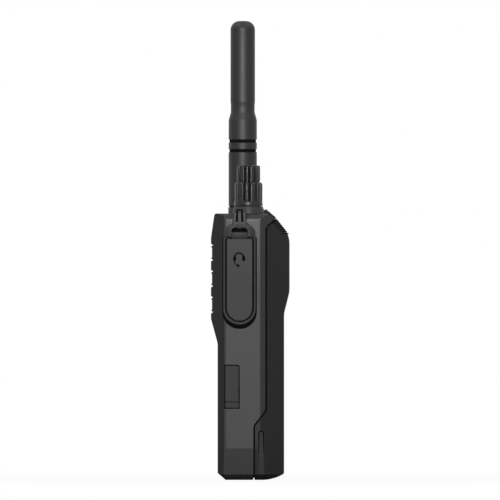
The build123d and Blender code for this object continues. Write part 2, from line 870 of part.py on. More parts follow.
def side_button(name, z, length, width, corner, proud):
    """A button through the -X wall, with a lip behind the wall that keeps it in."""
    with BuildPart() as button:
        with BuildSketch(Plane.YZ.offset(inner_x)):
            with Locations((ptt_y, z)):
                RectangleRounded(width - 2 * slide_gap, length - 2 * slide_gap, corner)
        extrude(amount=-wall - proud)
        face = button.faces().sort_by(Axis.X)[0]
        chamfer(face.edges(), min(button_chamfer, proud / 2))
        with BuildSketch(Plane.YZ.offset(inner_x + slide_gap)):
            with Locations((ptt_y, z)):
                RectangleRounded(width + 2 * flange_lip, length + 2 * flange_lip, corner)
        extrude(amount=flange_thick)
        with BuildSketch(Plane.YZ.offset(inner_x)):
            with Locations((ptt_y, z)):
                RectangleRounded(width - 2 * slide_gap, length - 2 * slide_gap, corner)
        extrude(amount=slide_gap)
    write(name, button)


ptt_corner = ptt_width / 2 - 2 * slide_gap
side_button("ptt_button", ptt_z, ptt_length, ptt_width, ptt_corner, ptt_proud)
for name, z in zip(("side_key_upper", "side_key_lower"), key_z):
    side_button(name, z, key_length, key_width, key_corner - slide_gap, key_proud)


def push_switches(name, heights, travel, body):
    """Switches on the board's edge, their plungers just short of the pressed buttons."""
    plunger_x = inner_x + slide_gap + flange_thick + travel + fit_gap
    with BuildPart() as switches:
        with BuildSketch(Plane.YZ.offset(plunger_x)):
            for z in heights:
                with Locations((ptt_y, z)):
                    Circle(plunger_r)
        extrude(amount=plunger_length)
        with BuildSketch(Plane.YZ.offset(plunger_x + plunger_length)):
            for z in heights:
                with Locations((ptt_y, z)):
                    Rectangle(body, body)
        extrude(amount=-board_half - plunger_x - plunger_length)
    write(name, switches)


push_switches("ptt_switch", [ptt_z], ptt_travel, ptt_switch_size)
push_switches("key_switches", key_z, key_travel, key_switch_size)

# ---------------------------------------------------------------- potentiometer, switch
for name, x in (("volume_pot", volume_x), ("channel_switch", channel_x)):
    with BuildPart() as control:
        with BuildSketch(Plane.XY.offset(pot_low)):
            with Locations((x, knob_y)):
                RectangleRounded(2 * pot_half, 2 * pot_half, pot_corner)
        extrude(amount=pot_height)
        with BuildSketch(Plane.XY.offset(pot_high)):
            with Locations((x, knob_y)):
                Circle(bushing_r)
        extrude(amount=pedestal_top + nut_high - pot_high)
        with Locations((x, knob_y, pedestal_top + nut_high)):
            Hole(shaft_r + bore_gap, pedestal_top + nut_high - pot_low - pot_floor)
    write(name, control)

with BuildPart() as control_nuts:
    with BuildSketch(Plane.XY.offset(pedestal_top)):
        with Locations((volume_x, knob_y), (channel_x, knob_y)):
            RegularPolygon(nut_r, 6)
            Circle(bushing_r + bore_gap, mode=Mode.SUBTRACT)
    extrude(amount=nut_high)
write("control_nuts", control_nuts)

# ---------------------------------------------------------------- knobs and shafts
shaft_low = pot_low + pot_floor + bore_gap
cavity_top = pedestal_top + nut_high + nut_clear


def shaft(name, x, top):
    """A plain control shaft, from inside its control up into the knob."""
    with BuildPart() as rod:
        with BuildSketch(Plane.XY.offset(shaft_low)):
            with Locations((x, knob_y)):
                Circle(shaft_r)
        extrude(amount=top - shaft_low)
        chamfer(rod.edges().group_by(Axis.Z)[-1], shaft_chamfer)
    write(name, rod)


def knob(name, x, lower_r, step_height, upper_r, height):
    """A fluted knob in one or two tiers with a pointer rib, hollow over the nut."""
    step_z = knob_base_z + step_height
    top_z = knob_base_z + height
    centre = Plane((x, knob_y, 0))
    upright = Plane((x, knob_y, 0), x_dir=(1, 0, 0), z_dir=(0, -1, 0))
    with BuildPart() as cap:
        with BuildSketch(upright):
            with BuildLine():
                Polyline(
                    (0, knob_base_z), (lower_r + skirt_flare, knob_base_z),
                    (lower_r, knob_base_z + knob_skirt - skirt_round),
                    (lower_r, step_z - knob_shoulder),
                    (lower_r - knob_round, step_z), (upper_r, step_z + tier_overlap),
                    (upper_r, top_z - knob_round), (upper_r - knob_round, top_z),
                    (0, top_z), close=True,
                )
            make_face()
        revolve(axis=Axis((x, knob_y, 0), (0, 0, 1)))
        for low, high, r in (
            (knob_base_z + knob_skirt, step_z, lower_r), (step_z, top_z, upper_r),
        ):
            with BuildSketch(centre.offset(low)):
                with PolarLocations(
                    r + flute_r - flute_depth, flute_count,
                    start_angle=pointer_angle + 180 / flute_count,
                ):
                    Circle(flute_r)
            extrude(amount=high - low + tier_overlap, mode=Mode.SUBTRACT)
        with BuildSketch(centre.offset(knob_base_z + knob_skirt)):
            with Locations(Location((0, 0), pointer_angle)):
                with Locations((lower_r / 2 + pointer_proud, 0)):
                    Rectangle(lower_r, pointer_width)
        extrude(amount=step_height - knob_skirt - pointer_low_stop)
        with BuildSketch(centre.offset(step_z - pointer_overlap)):
            with Locations(Location((0, 0), pointer_angle)):
                with Locations((upper_r / 2 + pointer_proud, 0)):
                    Rectangle(upper_r, pointer_width)
        extrude(amount=top_z - step_z + pointer_overlap - pointer_top_stop)
        with BuildSketch(centre.offset(knob_base_z)):
            Circle(nut_r + slide_gap)
        extrude(amount=cavity_top - knob_base_z, mode=Mode.SUBTRACT)
        with BuildSketch(centre.offset(knob_base_z)):
            Circle(shaft_r + bore_gap)
        extrude(amount=height - knob_cap, mode=Mode.SUBTRACT)
    write(name, cap)


shaft_top_z = knob_base_z - knob_cap - shaft_end_gap
shaft("volume_shaft", volume_x, shaft_top_z + volume_height)
shaft("channel_shaft", channel_x, shaft_top_z + channel_height)
knob("volume_knob", volume_x, volume_r, volume_step_height, volume_upper_r, volume_height)
knob("channel_knob", channel_x, channel_r, channel_step_height, channel_upper_r, channel_height)

# ---------------------------------------------------------------- antenna
antenna_low = pedestal_top + washer_thick
sleeve_top = antenna_low + antenna_sleeve_length
cone_top = sleeve_top + antenna_cone_length
neck_end = cone_top + antenna_neck_length
antenna_top = neck_end + antenna_rod_length
antenna_upright = Plane((antenna_x, antenna_y, 0), x_dir=(1, 0, 0), z_dir=(0, -1, 0))
antenna_axis = Axis((antenna_x, antenna_y, 0), (0, 0, 1))
antenna_centre = Plane((antenna_x, antenna_y, 0))
core_top = antenna_top - core_end_drop
washer_r = antenna_base_r - washer_inset
collar_top = antenna_low + collar_height
with BuildPart() as antenna_sheath:
    with BuildSketch(antenna_upright):
        with BuildLine():
            Polyline(
                (0, antenna_low), (antenna_r, antenna_low),
                (antenna_r, sleeve_top), (antenna_neck_r, cone_top),
                (antenna_neck_r, neck_end), (antenna_rod_r, neck_end + antenna_neck_step),
                (antenna_rod_r, antenna_top), (0, antenna_top), close=True,
            )
        make_face()
        for rise in ring_groove_heights:
            with Locations((antenna_r, antenna_low + rise)):
                Rectangle(2 * ring_groove_depth, ring_groove_width, mode=Mode.SUBTRACT)
    revolve(axis=antenna_axis)
    fillet(antenna_sheath.edges().group_by(Axis.Z)[-1], antenna_tip_r)
    with BuildSketch(antenna_centre.offset(antenna_low)):
        Circle(collar_r)
    extrude(amount=collar_height, mode=Mode.SUBTRACT)
    with BuildSketch(antenna_centre.offset(antenna_low)):
        Circle(core_r)
    extrude(amount=core_top - antenna_low, mode=Mode.SUBTRACT)
write("antenna_sheath", antenna_sheath)

# The brass foot: a plain stud, in place of a thread, under a collar in the sheath.
with BuildPart() as antenna_stud:
    with BuildSketch(antenna_centre.offset(antenna_low)):
        Circle(collar_r)
    extrude(amount=collar_height)
    with BuildSketch(antenna_centre.offset(antenna_low)):
        Circle(stud_r - bore_gap)
    extrude(amount=-stud_length - washer_thick)
    chamfer(antenna_stud.edges().group_by(Axis.Z)[0], stud_chamfer)
write("antenna_stud", antenna_stud)

with BuildPart() as antenna_core:
    with BuildSketch(antenna_centre.offset(collar_top)):
        Circle(core_r)
    extrude(amount=core_top - collar_top)
write("antenna_core", antenna_core)

# A rubber washer lies between the sheath and the pedestal, round the stud.
with BuildPart() as antenna_washer:
    with BuildSketch(antenna_centre.offset(pedestal_top)):
        Circle(washer_r)
        Circle(insert_r + fit_gap, mode=Mode.SUBTRACT)
    extrude(amount=washer_thick)
write("antenna_washer", antenna_washer)

socket_depth = stud_length + stud_tip_gap + socket_floor
with BuildPart() as antenna_socket:
    with BuildSketch(antenna_centre.offset(pedestal_top - socket_depth)):
        Circle(insert_r)
    extrude(amount=socket_depth)
    with Locations((antenna_x, antenna_y, pedestal_top)):
        Hole(stud_r, stud_length + stud_tip_gap)
write("antenna_socket", antenna_socket)

# ---------------------------------------------------------------- battery latch
with BuildPart() as battery_latch:
    with BuildSketch(Plane.YZ):
        with BuildLine():
            Polyline(
                latch_top_front, latch_top_rear, latch_tip, latch_low_tip, latch_knee,
                latch_front, close=True,
            )
        make_face()
        slope = Vector(*latch_tip) - Vector(*latch_top_rear)
        for i in range(latch_teeth):
            spot = Vector(*latch_top_rear) + slope * ((i + tooth_start) / latch_teeth)
            with Locations((spot.X, spot.Y)):
                Rectangle(2 * tooth_depth, 2 * tooth_depth, mode=Mode.SUBTRACT)
    extrude(amount=latch_half, both=True)
    with BuildSketch(Plane.XY.offset(latch_foot_z)):
        with Locations((0, (stem_front_y + stem_rear_y) / 2)):
            Rectangle(2 * stem_half, stem_rear_y - stem_front_y)
    extrude(amount=-wall - 2 * slide_gap)
write("battery_latch", battery_latch)

latch_plate_z = body_height - wall - slide_gap
with BuildPart() as latch_plate:
    with BuildSketch(Plane.XY.offset(latch_plate_z)):
        with Locations((0, (stem_front_y + stem_rear_y) / 2 - latch_plate_forward)):
            Rectangle(
                2 * (stem_half + latch_plate_lip),
                stem_rear_y - stem_front_y + latch_plate_extra,
            )
    extrude(amount=-latch_plate_thick)
write("latch_plate", latch_plate)

# ---------------------------------------------------------------- chassis and seal
# A die-cast tray behind the rear window: its pad fills the window as the battery
# seat, its posts carry the board, and a rubber ring seals it to the housing.
seat_plane = Plane.XZ.offset(-chassis_rear_y)
with BuildPart() as chassis:
    with BuildSketch(seat_plane):
        with Locations((0, window_mid)):
            RectangleRounded(
                2 * (half_width - wall - chassis_clear), window_length + 2 * tray_margin,
                chassis_corner,
            )
    extrude(amount=chassis_thick)
    with BuildSketch(seat_plane):
        with Locations((0, window_mid)):
            RectangleRounded(
                2 * (window_half - fit_gap), window_length - 2 * fit_gap,
                window_corner - fit_gap,
            )
    extrude(amount=-(seat_y - seam_gap - chassis_rear_y))
    with BuildSketch(seat_plane.offset(chassis_thick)):
        with Locations(*upper_posts):
            Circle(post_r)
    extrude(amount=chassis_rear_y - chassis_thick - board_rear_y)
    with BuildSketch(seat_plane.offset(chassis_thick)):
        with Locations(*screw_spots):
            Circle(screw_r + screw_boss_wall)
    extrude(amount=screw_boss)
    with BuildSketch(seat_plane.offset(-seal_thick)):
        with Locations(*screw_spots):
            Circle(screw_r + bore_gap)
    extrude(amount=seal_thick + chassis_thick + screw_boss, mode=Mode.SUBTRACT)
    with BuildSketch(Plane.XZ.offset(-board_rear_y)):
        with Locations(*upper_posts):
            Circle(board_screw_r + bore_gap)
    extrude(amount=-post_bore, mode=Mode.SUBTRACT)
    with BuildSketch(Plane.XZ.offset(-seat_y)):
        with Locations((0, contact_z)):
            RectangleRounded(contact_block_width, contact_block_height, contact_block_corner)
    extrude(amount=2 * wall + chassis_thick, mode=Mode.SUBTRACT)
write("chassis", chassis)

seal_outer = seal_margin + seal_width
with BuildPart() as main_seal:
    with BuildSketch(seat_plane):
        with Locations((0, window_mid)):
            RectangleRounded(
                2 * (window_half + seal_outer), window_length + 2 * seal_outer,
                window_corner + seal_outer,
            )
            RectangleRounded(
                2 * (window_half + seal_margin), window_length + 2 * seal_margin,
                window_corner + seal_margin, mode=Mode.SUBTRACT,
            )
    extrude(amount=-seal_thick)
write("main_seal", main_seal)


def screws(name, plane, spots, r, length, head_r, head):
    """Identical pan-head screws with a cross recess, heads on the plane, one group."""
    with BuildPart() as group:
        with BuildSketch(plane):
            with Locations(*spots):
                Circle(head_r)
        extrude(amount=-head)
        with BuildSketch(plane):
            with Locations(*spots):
                Circle(r)
        extrude(amount=length)
        with BuildSketch(plane.offset(-head)):
            with Locations(*spots):
                Rectangle(cross_length * head_r, cross_width * head_r)
                Rectangle(cross_width * head_r, cross_length * head_r)
        extrude(amount=head / 2, mode=Mode.SUBTRACT)
    write(name, group)


screw_plane = Plane.XZ.offset(-(seat_y - screw_head))
screw_length = seat_y - screw_head - chassis_front_y + screw_boss
screws(
    "chassis_screws", screw_plane, screw_spots, screw_r, screw_length, screw_head_r,
    screw_head - head_sunk,
)

# ---------------------------------------------------------------- main board
with BuildPart() as main_board:
    with BuildSketch(Plane.XZ.offset(-board_rear_y)):
        with Locations((0, (board_low + board_high) / 2)):
            RectangleRounded(2 * board_half, board_high - board_low, board_corner)
        with Locations((board_half, (jack_large_z + jack_small_z) / 2)):
            Rectangle(
                2 * (board_half - connector_x + jack_length + board_notch_gap),
                jack_pitch + 2 * board_notch_margin, mode=Mode.SUBTRACT,
            )
        with Locations(*upper_posts, *lower_posts):
            Circle(board_screw_r + fit_gap, mode=Mode.SUBTRACT)
    extrude(amount=board_thick)
write("main_board", main_board)

flipped = Plane((0, board_y, 0), x_dir=(1, 0, 0), z_dir=(0, 1, 0))
flipped_spots = [(x, -z) for x, z in upper_posts + lower_posts]
screws(
    "board_screws", flipped, flipped_spots, board_screw_r, board_screw_length,
    board_screw_head_r, board_screw_head,
)

shields = {
    "shield_can_radio": (radio_can_x, radio_can_drop, radio_can_width, radio_can_length),
    "shield_can_logic": (0, logic_can_drop, logic_can_side, logic_can_side),
}
for name, (x, drop, width, length) in shields.items():
    with BuildPart() as can:
        with BuildSketch(Plane.XZ.offset(-board_rear_y)):
            with Locations((x, board_high - drop)):
                RectangleRounded(width, length, shield_corner)
        extrude(amount=-shield_height)
        offset(amount=-shield_wall, openings=can.faces().sort_by(Axis.Y)[0])
    write(name, can)

# ---------------------------------------------------------------- battery contacts, radio side
block_front_y = chassis_front_y - block_forward
with BuildPart() as contact_block:
    with BuildSketch(Plane.XZ.offset(-(seat_y - seam_gap))):
        with Locations((0, contact_z)):
            RectangleRounded(
                contact_block_width - 2 * fit_gap, contact_block_height - 2 * fit_gap,
                contact_block_corner - fit_gap,
            )
    extrude(amount=seat_y - seam_gap - block_front_y)
    with BuildSketch(Plane.XZ.offset(-block_front_y)):
        with Locations((0, contact_z)):
            Rectangle(contact_block_width + 2 * block_lip, contact_block_height + 2 * block_lip)
    extrude(amount=block_lip_depth)
    with BuildSketch(Plane.XZ.offset(-seat_y)):
        with Locations((0, contact_z)):
            with GridLocations(contact_pitch, 1, contact_count, 1):
                Circle(contact_r + bore_gap)
    extrude(amount=seat_y - block_front_y + 2 * block_lip_depth, mode=Mode.SUBTRACT)
write("contact_block", contact_block)

with BuildPart() as contact_pins:
    with BuildSketch(Plane.XZ.offset(-(seat_y + seam_gap / 2))):
        with Locations((0, contact_z)):
            with GridLocations(contact_pitch, 1, contact_count, 1):
                Circle(contact_r)
    extrude(amount=seat_y + seam_gap / 2 - board_rear_y)
write("contact_pins", contact_pins)

# ---------------------------------------------------------------- speaker
speaker_front_y = crown_inner_y + screen_thick + fit_gap
basket_back_y = speaker_front_y + basket_depth
speaker_axis = Axis((0, 0, speaker_z), (0, 1, 0))
speaker_profile = Plane((0, 0, speaker_z), x_dir=(0, 1, 0), z_dir=(1, 0, 0))
with BuildPart() as speaker_frame:
    with BuildSketch(speaker_profile):
        with BuildLine():
            Polyline(
                (speaker_front_y, speaker_r - basket_rim), (speaker_front_y, speaker_r),
                (speaker_front_y + basket_rim_thick, speaker_r),
                (basket_back_y, magnet_r + basket_seat),
                (basket_back_y, magnet_r + bore_gap),
                (basket_back_y - basket_wall, magnet_r + bore_gap),
                (speaker_front_y + basket_wall, speaker_r - basket_rim), close=True,
            )
        make_face()
    revolve(axis=speaker_axis)
write("speaker_frame", speaker_frame)

cone_y = speaker_front_y + cone_set_back
cone_r = speaker_r - basket_rim - cone_rim_gap
with BuildPart() as speaker_cone:
    with BuildSketch(speaker_profile):
        with BuildLine():
            Polyline(
                (cone_y, cone_r), (cone_y + cone_thick, cone_r),
                (cone_y + cone_thick + cone_depth, cone_dome_r),
                (cone_y + cone_thick + cone_dome_back, 0), (cone_y + cone_dome_back, 0),
                (cone_y + cone_depth, cone_dome_r), close=True,
            )
        make_face()
    revolve(axis=speaker_axis)
write("speaker_cone", speaker_cone)

with BuildPart() as speaker_magnet:
    with BuildSketch(Plane.XZ.offset(-(basket_back_y - basket_wall))):
        with Locations((0, speaker_z)):
            Circle(magnet_r)
    extrude(amount=-magnet_thick)
    chamfer(speaker_magnet.edges().group_by(Axis.Y)[-1], magnet_chamfer)
write("speaker_magnet", speaker_magnet)

with BuildPart() as speaker_screen:
    with BuildSketch(Plane.XZ.offset(-crown_inner_y)):
        with Locations((0, speaker_z)):
            Circle(speaker_r + screen_over)
    extrude(amount=-screen_thick)
write("speaker_screen", speaker_screen)

# ---------------------------------------------------------------- microphone
with BuildPart() as microphone_boot:
    with BuildSketch(Plane.XZ.offset(-(front_y + wall))):
        with Locations((0, microphone_z)):
            Circle(microphone_r + boot_wall)
    extrude(amount=-microphone_length)
    with BuildSketch(Plane.XZ.offset(-(front_y + wall))):
        with Locations((0, microphone_z)):
            Circle(microphone_hole_r)
    extrude(amount=-microphone_length, mode=Mode.SUBTRACT)
    with BuildSketch(Plane.XZ.offset(-(front_y + wall + boot_wall))):
        with Locations((0, microphone_z)):
            Circle(microphone_r)
    extrude(amount=-microphone_length, mode=Mode.SUBTRACT)
write("microphone_boot", microphone_boot)

with BuildPart() as microphone:
    with BuildSketch(Plane.XZ.offset(-(front_y + wall + boot_wall))):
        with Locations((0, microphone_z)):
            Circle(microphone_r - bore_gap)
    extrude(amount=-(microphone_length - boot_wall - microphone_end_gap))
write("microphone", microphone)

# ---------------------------------------------------------------- battery
foot_front_y = foot_y + seam_gap
case_front_y = seat_y + seam_gap
lid_low = window_low - lid_margin
lid_half = window_half + lid_margin
lid_mid = (lid_low + window_high) / 2
lid_length = window_high - lid_low
with BuildPart() as battery_case:
    add(battery_outer)
    add(battery_inner, mode=Mode.SUBTRACT)
    with BuildSketch(Plane.XZ.offset(-case_front_y)):
        with Locations((0, lid_mid)):
            RectangleRounded(2 * lid_half, lid_length, lid_corner)
    extrude(amount=-battery_wall - cut_past, mode=Mode.SUBTRACT)
    with BuildSketch(Plane.XZ.offset(-clip_floor_y + battery_wall)):
        with Locations((0, (clip_low - battery_wall + slope_corner_z) / 2)):
            Rectangle(
                2 * (clip_half + clip_undercut + battery_wall),
                slope_corner_z - clip_low + battery_wall,
            )
    extrude(amount=-(bulge_y - clip_floor_y))
    with BuildSketch(Plane.XY.offset(clip_low)):
        with BuildLine():
            Polyline(
                (-clip_half, bulge_y + cut_past), (-clip_half, clip_lip_y),
                (-clip_half - clip_undercut, clip_lip_y),
                (-clip_half - clip_undercut, clip_floor_y),
                (clip_half + clip_undercut, clip_floor_y),
                (clip_half + clip_undercut, clip_lip_y), (clip_half, clip_lip_y),
                (clip_half, bulge_y + cut_past), close=True,
            )
        make_face()
    extrude(amount=body_height - clip_low, mode=Mode.SUBTRACT)
    with BuildSketch(Plane.XZ.offset(-battery_y)):
        with Locations((0, charge_z)):
            with GridLocations(charge_pitch, 1, charge_count, 1):
                RectangleRounded(
                    pad_width + 2 * bore_gap, charge_height + 2 * bore_gap, pad_corner,
                )
    extrude(amount=2 * battery_wall, mode=Mode.SUBTRACT)
    for plane, depth in (
        (Plane.YZ.offset(half_width), groove_depth + groove_side_in),
        (Plane.YZ.offset(-half_width), -groove_depth - groove_side_in),
    ):
        with BuildSketch(plane):
            with Locations((groove_y, (groove_top - groove_below) / 2)):
                SlotOverall(groove_top + groove_below, groove_width, rotation=90)
        extrude(amount=-depth, mode=Mode.SUBTRACT)
    with BuildSketch(Plane.XZ.offset(-foot_front_y - battery_wall / 2)):
        with Locations((0, (hook_low + hook_high) / 2)):
            with Locations(*hook_spots):
                Rectangle(hook_width, hook_high - hook_low)
    extrude(amount=battery_wall / 2 + hook_reach)
    with BuildSketch(Plane.YZ):
        with Locations(((foot_y + foot_front_y + foot_round) / 2, foot_round / 2)):
            Rectangle(seam_gap + foot_round, foot_round)
        with Locations((foot_front_y + foot_round, foot_round)):
            Circle(foot_round, mode=Mode.SUBTRACT)
    extrude(amount=half_width, both=True, mode=Mode.SUBTRACT)
write("battery_case", battery_case)

with BuildPart() as battery_lid:
    with BuildSketch(Plane.XZ.offset(-case_front_y)):
        with Locations((0, lid_mid)):
            RectangleRounded(
                2 * (lid_half - bore_gap), lid_length - 2 * bore_gap, lid_corner - bore_gap,
            )
        with Locations((0, contact_z)):
            with GridLocations(contact_pitch, 1, contact_count, 1):
                Rectangle(pad_width + 2 * bore_gap, pad_height + 2 * bore_gap, mode=Mode.SUBTRACT)
    extrude(amount=-battery_wall)
write("battery_lid", battery_lid)

with BuildPart() as battery_pads:
    with BuildSketch(Plane.XZ.offset(-case_front_y)):
        with Locations((0, contact_z)):
            with GridLocations(contact_pitch, 1, contact_count, 1):
                Rectangle(pad_width, pad_height)
    extrude(amount=-battery_wall)
write("battery_pads", battery_pads)

with BuildPart() as charge_contacts:
    with BuildSketch(Plane.XZ.offset(-battery_y + charge_sunk)):
        with Locations((0, charge_z)):
            with GridLocations(charge_pitch, 1, charge_count, 1):
                RectangleRounded(pad_width, charge_height, pad_corner)
    extrude(amount=battery_wall - charge_sunk)
write("charge_contacts", charge_contacts)

cell_front_y = case_front_y + battery_wall + battery_board_thick + bore_gap
with BuildPart() as battery_board:
    with BuildSketch(Plane.XZ.offset(-(case_front_y + battery_wall))):
        with Locations((0, contact_z)):
            Rectangle(battery_board_width, battery_board_height)
        with Locations((0, contact_z)):
            with GridLocations(contact_pitch, 1, contact_count, 1):
                Rectangle(
                    pad_width + 2 * fit_gap, pad_height + 2 * fit_gap, mode=Mode.SUBTRACT,
                )
    extrude(amount=-battery_board_thick)
write("battery_board", battery_board)

with BuildPart() as battery_cells:
    with BuildSketch(Plane.XZ.offset(-cell_front_y)):
        with Locations(*[(0, z) for z in cell_z]):
            RectangleRounded(cell_width, cell_height, cell_corner)
    extrude(amount=-cell_thick)
write("battery_cells", battery_cells)
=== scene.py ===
# %% [markdown]
# # A hand-held two-way radio, dressed for its picture
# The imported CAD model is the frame: it says where every piece is and what moves with
# what. Moulded housings already have their true shape there, so they keep it and only
# get a finish. The rubber and fluted pieces that a hand touches are worked out again
# here as smooth surfaces, because their soft edges are what the eye reads.

# %% Load the frame
import json
import math

import bmesh
import bpy
import numpy as np
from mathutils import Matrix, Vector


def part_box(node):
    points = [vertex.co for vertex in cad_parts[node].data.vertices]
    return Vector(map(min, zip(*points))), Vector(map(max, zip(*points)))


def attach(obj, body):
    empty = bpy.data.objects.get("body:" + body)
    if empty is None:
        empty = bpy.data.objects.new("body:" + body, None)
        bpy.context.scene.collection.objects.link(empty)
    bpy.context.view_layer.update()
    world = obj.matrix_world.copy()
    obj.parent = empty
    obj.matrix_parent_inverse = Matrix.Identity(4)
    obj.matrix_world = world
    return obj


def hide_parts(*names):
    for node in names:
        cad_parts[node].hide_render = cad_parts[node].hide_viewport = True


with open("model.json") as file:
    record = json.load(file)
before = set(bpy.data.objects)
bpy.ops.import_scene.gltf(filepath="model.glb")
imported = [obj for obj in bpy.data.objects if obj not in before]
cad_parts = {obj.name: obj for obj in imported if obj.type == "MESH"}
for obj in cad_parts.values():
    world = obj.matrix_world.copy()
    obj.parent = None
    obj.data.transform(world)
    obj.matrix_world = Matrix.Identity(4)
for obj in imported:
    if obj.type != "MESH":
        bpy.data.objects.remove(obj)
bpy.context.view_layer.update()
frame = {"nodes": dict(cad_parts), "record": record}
MM = 0.001

# %% [markdown]
# ## Surfaces from arrays
# Each new piece is a grid of points: rows along a profile, columns around it. Two ways
# of making the grid cover the whole radio. A turned piece, such as a knob, is a radius
# that depends on height and angle. A plate, such as a button, is an outline that is
# drawn in step by step while it rises, which gives it a rounded rim.

# %% A closed skin over a grid
SHARP = 40.0                 # edges sharper than this many degrees stay crisp


def add_object(name, data):
    """A new object in the scene for a mesh, a lamp or a camera."""
    item = bpy.data.objects.new(name, data)
    bpy.context.scene.collection.objects.link(item)
    return item


def close_skin(name, grids):
    """Mesh of one or more closed shells. Each grid is rows x columns x 3 points in mm,
    and its columns run all the way round. Where the last row repeats the first, the
    rows run round too; otherwise the first and last rows are closed by one face each.
    Faces are then turned to point outwards."""
    points, faces = [], []
    start = 0
    for grid in grids:
        loops = np.allclose(grid[0], grid[-1])
        grid = grid[:-1] if loops else grid
        rows, cols = grid.shape[:2]
        index = np.arange(rows * cols).reshape(rows, cols) + start
        low = index if loops else index[:-1]
        high = np.roll(index, -1, axis=0) if loops else index[1:]
        quads = np.stack([low, np.roll(low, -1, 1), np.roll(high, -1, 1), high], axis=-1)
        faces += quads.reshape(-1, 4).tolist()
        if not loops:
            faces += [index[0].tolist(), index[-1].tolist()]
        points.append(grid.reshape(-1, 3))
        start += rows * cols
    mesh = bpy.data.meshes.new(name)
    mesh.from_pydata(np.concatenate(points) * MM, [], faces)
    shell = bmesh.new()
    shell.from_mesh(mesh)
    bmesh.ops.recalc_face_normals(shell, faces=shell.faces)
    shell.to_mesh(mesh)
    shell.free()
    mesh.shade_smooth()
    mesh.set_sharp_from_angle(angle=math.radians(SHARP))
    print(name, len(mesh.polygons), "faces")
    return add_object(name, mesh)


# %% Smooth helpers
def smooth_step(value, low, high):
    """0 below low, 1 above high, and an S curve 3t^2 - 2t^3 between them."""
    t = np.clip((value - low) / (high - low), 0, 1)
    return t * t * (3 - 2 * t)


def angle_gap(angle, centre):
    """Shortest signed angle from centre to angle, both in radians."""
    return (angle - centre + np.pi) % (2 * np.pi) - np.pi


def along(points, spacing):
    """Points a spacing apart along straight runs through the given points, ends kept."""
    points = np.asarray(points, float)
    run = np.concatenate([[0], np.cumsum(np.linalg.norm(np.diff(points, axis=0), axis=1))])
    steps = np.unique(np.concatenate([np.arange(0, run[-1], spacing), run]).round(6))
    return np.stack([np.interp(steps, run, points[:, k]) for k in range(2)], axis=1)


# %% A turned piece
ROUND = np.linspace(0, 2 * np.pi, 128, endpoint=False)


def turned(centre, profile, radius=None, angles=ROUND):
    """Grid of a turned piece about an upright axis: at height z and angle t the point is
    (cx + r cos t, cy + r sin t, z), with r taken from the profile's rows (r, z) and then
    changed by the function radius(r, z, t) where one is given."""
    profile = np.asarray(profile, float)
    t = angles[None, :]
    r, z = profile[:, :1], profile[:, 1:]
    reach = r + 0 * t if radius is None else radius(r, z, t)
    up = z + 0 * t
    return np.stack([centre[0] + reach * np.cos(t), centre[1] + reach * np.sin(t), up], -1)


# %% A plate with a rounded rim
def rounded_box(half_wide, half_high, corners, count=12):
    """Closed outline of a box about the origin, with one radius for each corner in the
    order top right, top left, bottom left, bottom right: each corner is a quarter arc
    of count points about a centre one radius in from both sides."""
    signs = ((1, 1), (-1, 1), (-1, -1), (1, -1))
    arcs = []
    for quarter, ((sx, sz), r) in enumerate(zip(signs, corners)):
        t = np.linspace(0, np.pi / 2, count) + quarter * np.pi / 2
        centre = np.array([sx * (half_wide - r), sz * (half_high - r)])
        arcs.append(centre + r * np.stack([np.cos(t), np.sin(t)], -1))
    return np.concatenate(arcs)


def plate(outline, steps, to_place):
    """Grid of a plate: each step (inset, height) is the outline moved in by the inset,
    square to its edges, at that height. to_place turns (across, up, height) arrays into
    x, y and z, so one plate serves either side of the radio."""
    ahead, behind = np.roll(outline, -1, axis=0), np.roll(outline, 1, axis=0)
    edge = ahead - behind
    inward = np.stack([-edge[:, 1], edge[:, 0]], -1)
    inward /= np.linalg.norm(inward, axis=1, keepdims=True)
    steps = np.asarray(steps, float)
    flat = outline[None] + steps[:, :1, None] * inward[None]
    height = steps[:, 1:] + 0 * flat[..., 0]
    return to_place(flat[..., 0], flat[..., 1], height)


def rim(bottom, top, r, count=7):
    """Steps for a plate with a flat foot at bottom and a quarter-round rim of radius r
    under its top: inset r(1 - cos t), height top - r + r sin t. One more step at the
    top's own height keeps the top flat."""
    t = np.linspace(0, np.pi / 2, count)
    round_part = np.stack([r * (1 - np.cos(t)), top - r + r * np.sin(t)], -1)
    return np.concatenate([[[0, bottom]], round_part, [[r + 0.12, top]]])


def band(outer, inner, section, to_place, tall=1.0):
    """Grid of a strip between two outlines: row i runs from outer[i] to inner[i], and
    each point (share, height) of the section lies that share of the way across. The
    height is multiplied by tall, which may differ from row to row."""
    section = np.asarray(section, float)
    share, height = section[None, :, :1], section[None, :, 1]
    flat = outer[:, None] + share * (inner - outer)[:, None]
    tall = np.broadcast_to(tall, len(outer))[:, None]
    return to_place(flat[..., 0], flat[..., 1], height * tall)


def ring_of(outline):
    """An outline with its first point repeated at the end."""
    return np.concatenate([outline, outline[:1]])


# %% [markdown]
# ## Finishes
# Moulded plastic is never one flat grey. A tool is spark-eroded, so the plastic comes
# out with a fine grain that scatters light, and its sheen drifts from place to place.
# Edges that a hand rubs turn smoother and a little paler. Along the bottom the plastic is
# rougher, and its colour is darkened there as painted shade over the rounded foot. These
# effects are node groups with their own inputs, and each material mixes them in its own
# amounts.

# %% A node group's frame
def new_group(name, inputs, outputs):
    """An empty shader group with float inputs (name, default) and outputs (name, kind)."""
    group = bpy.data.node_groups.new(name, "ShaderNodeTree")
    for label, value in inputs:
        socket = group.interface.new_socket(label, in_out="INPUT", socket_type="NodeSocketFloat")
        socket.default_value = value
    for label, kind in outputs:
        group.interface.new_socket(label, in_out="OUTPUT", socket_type=kind)
    return group, group.nodes.new("NodeGroupInput"), group.nodes.new("NodeGroupOutput")


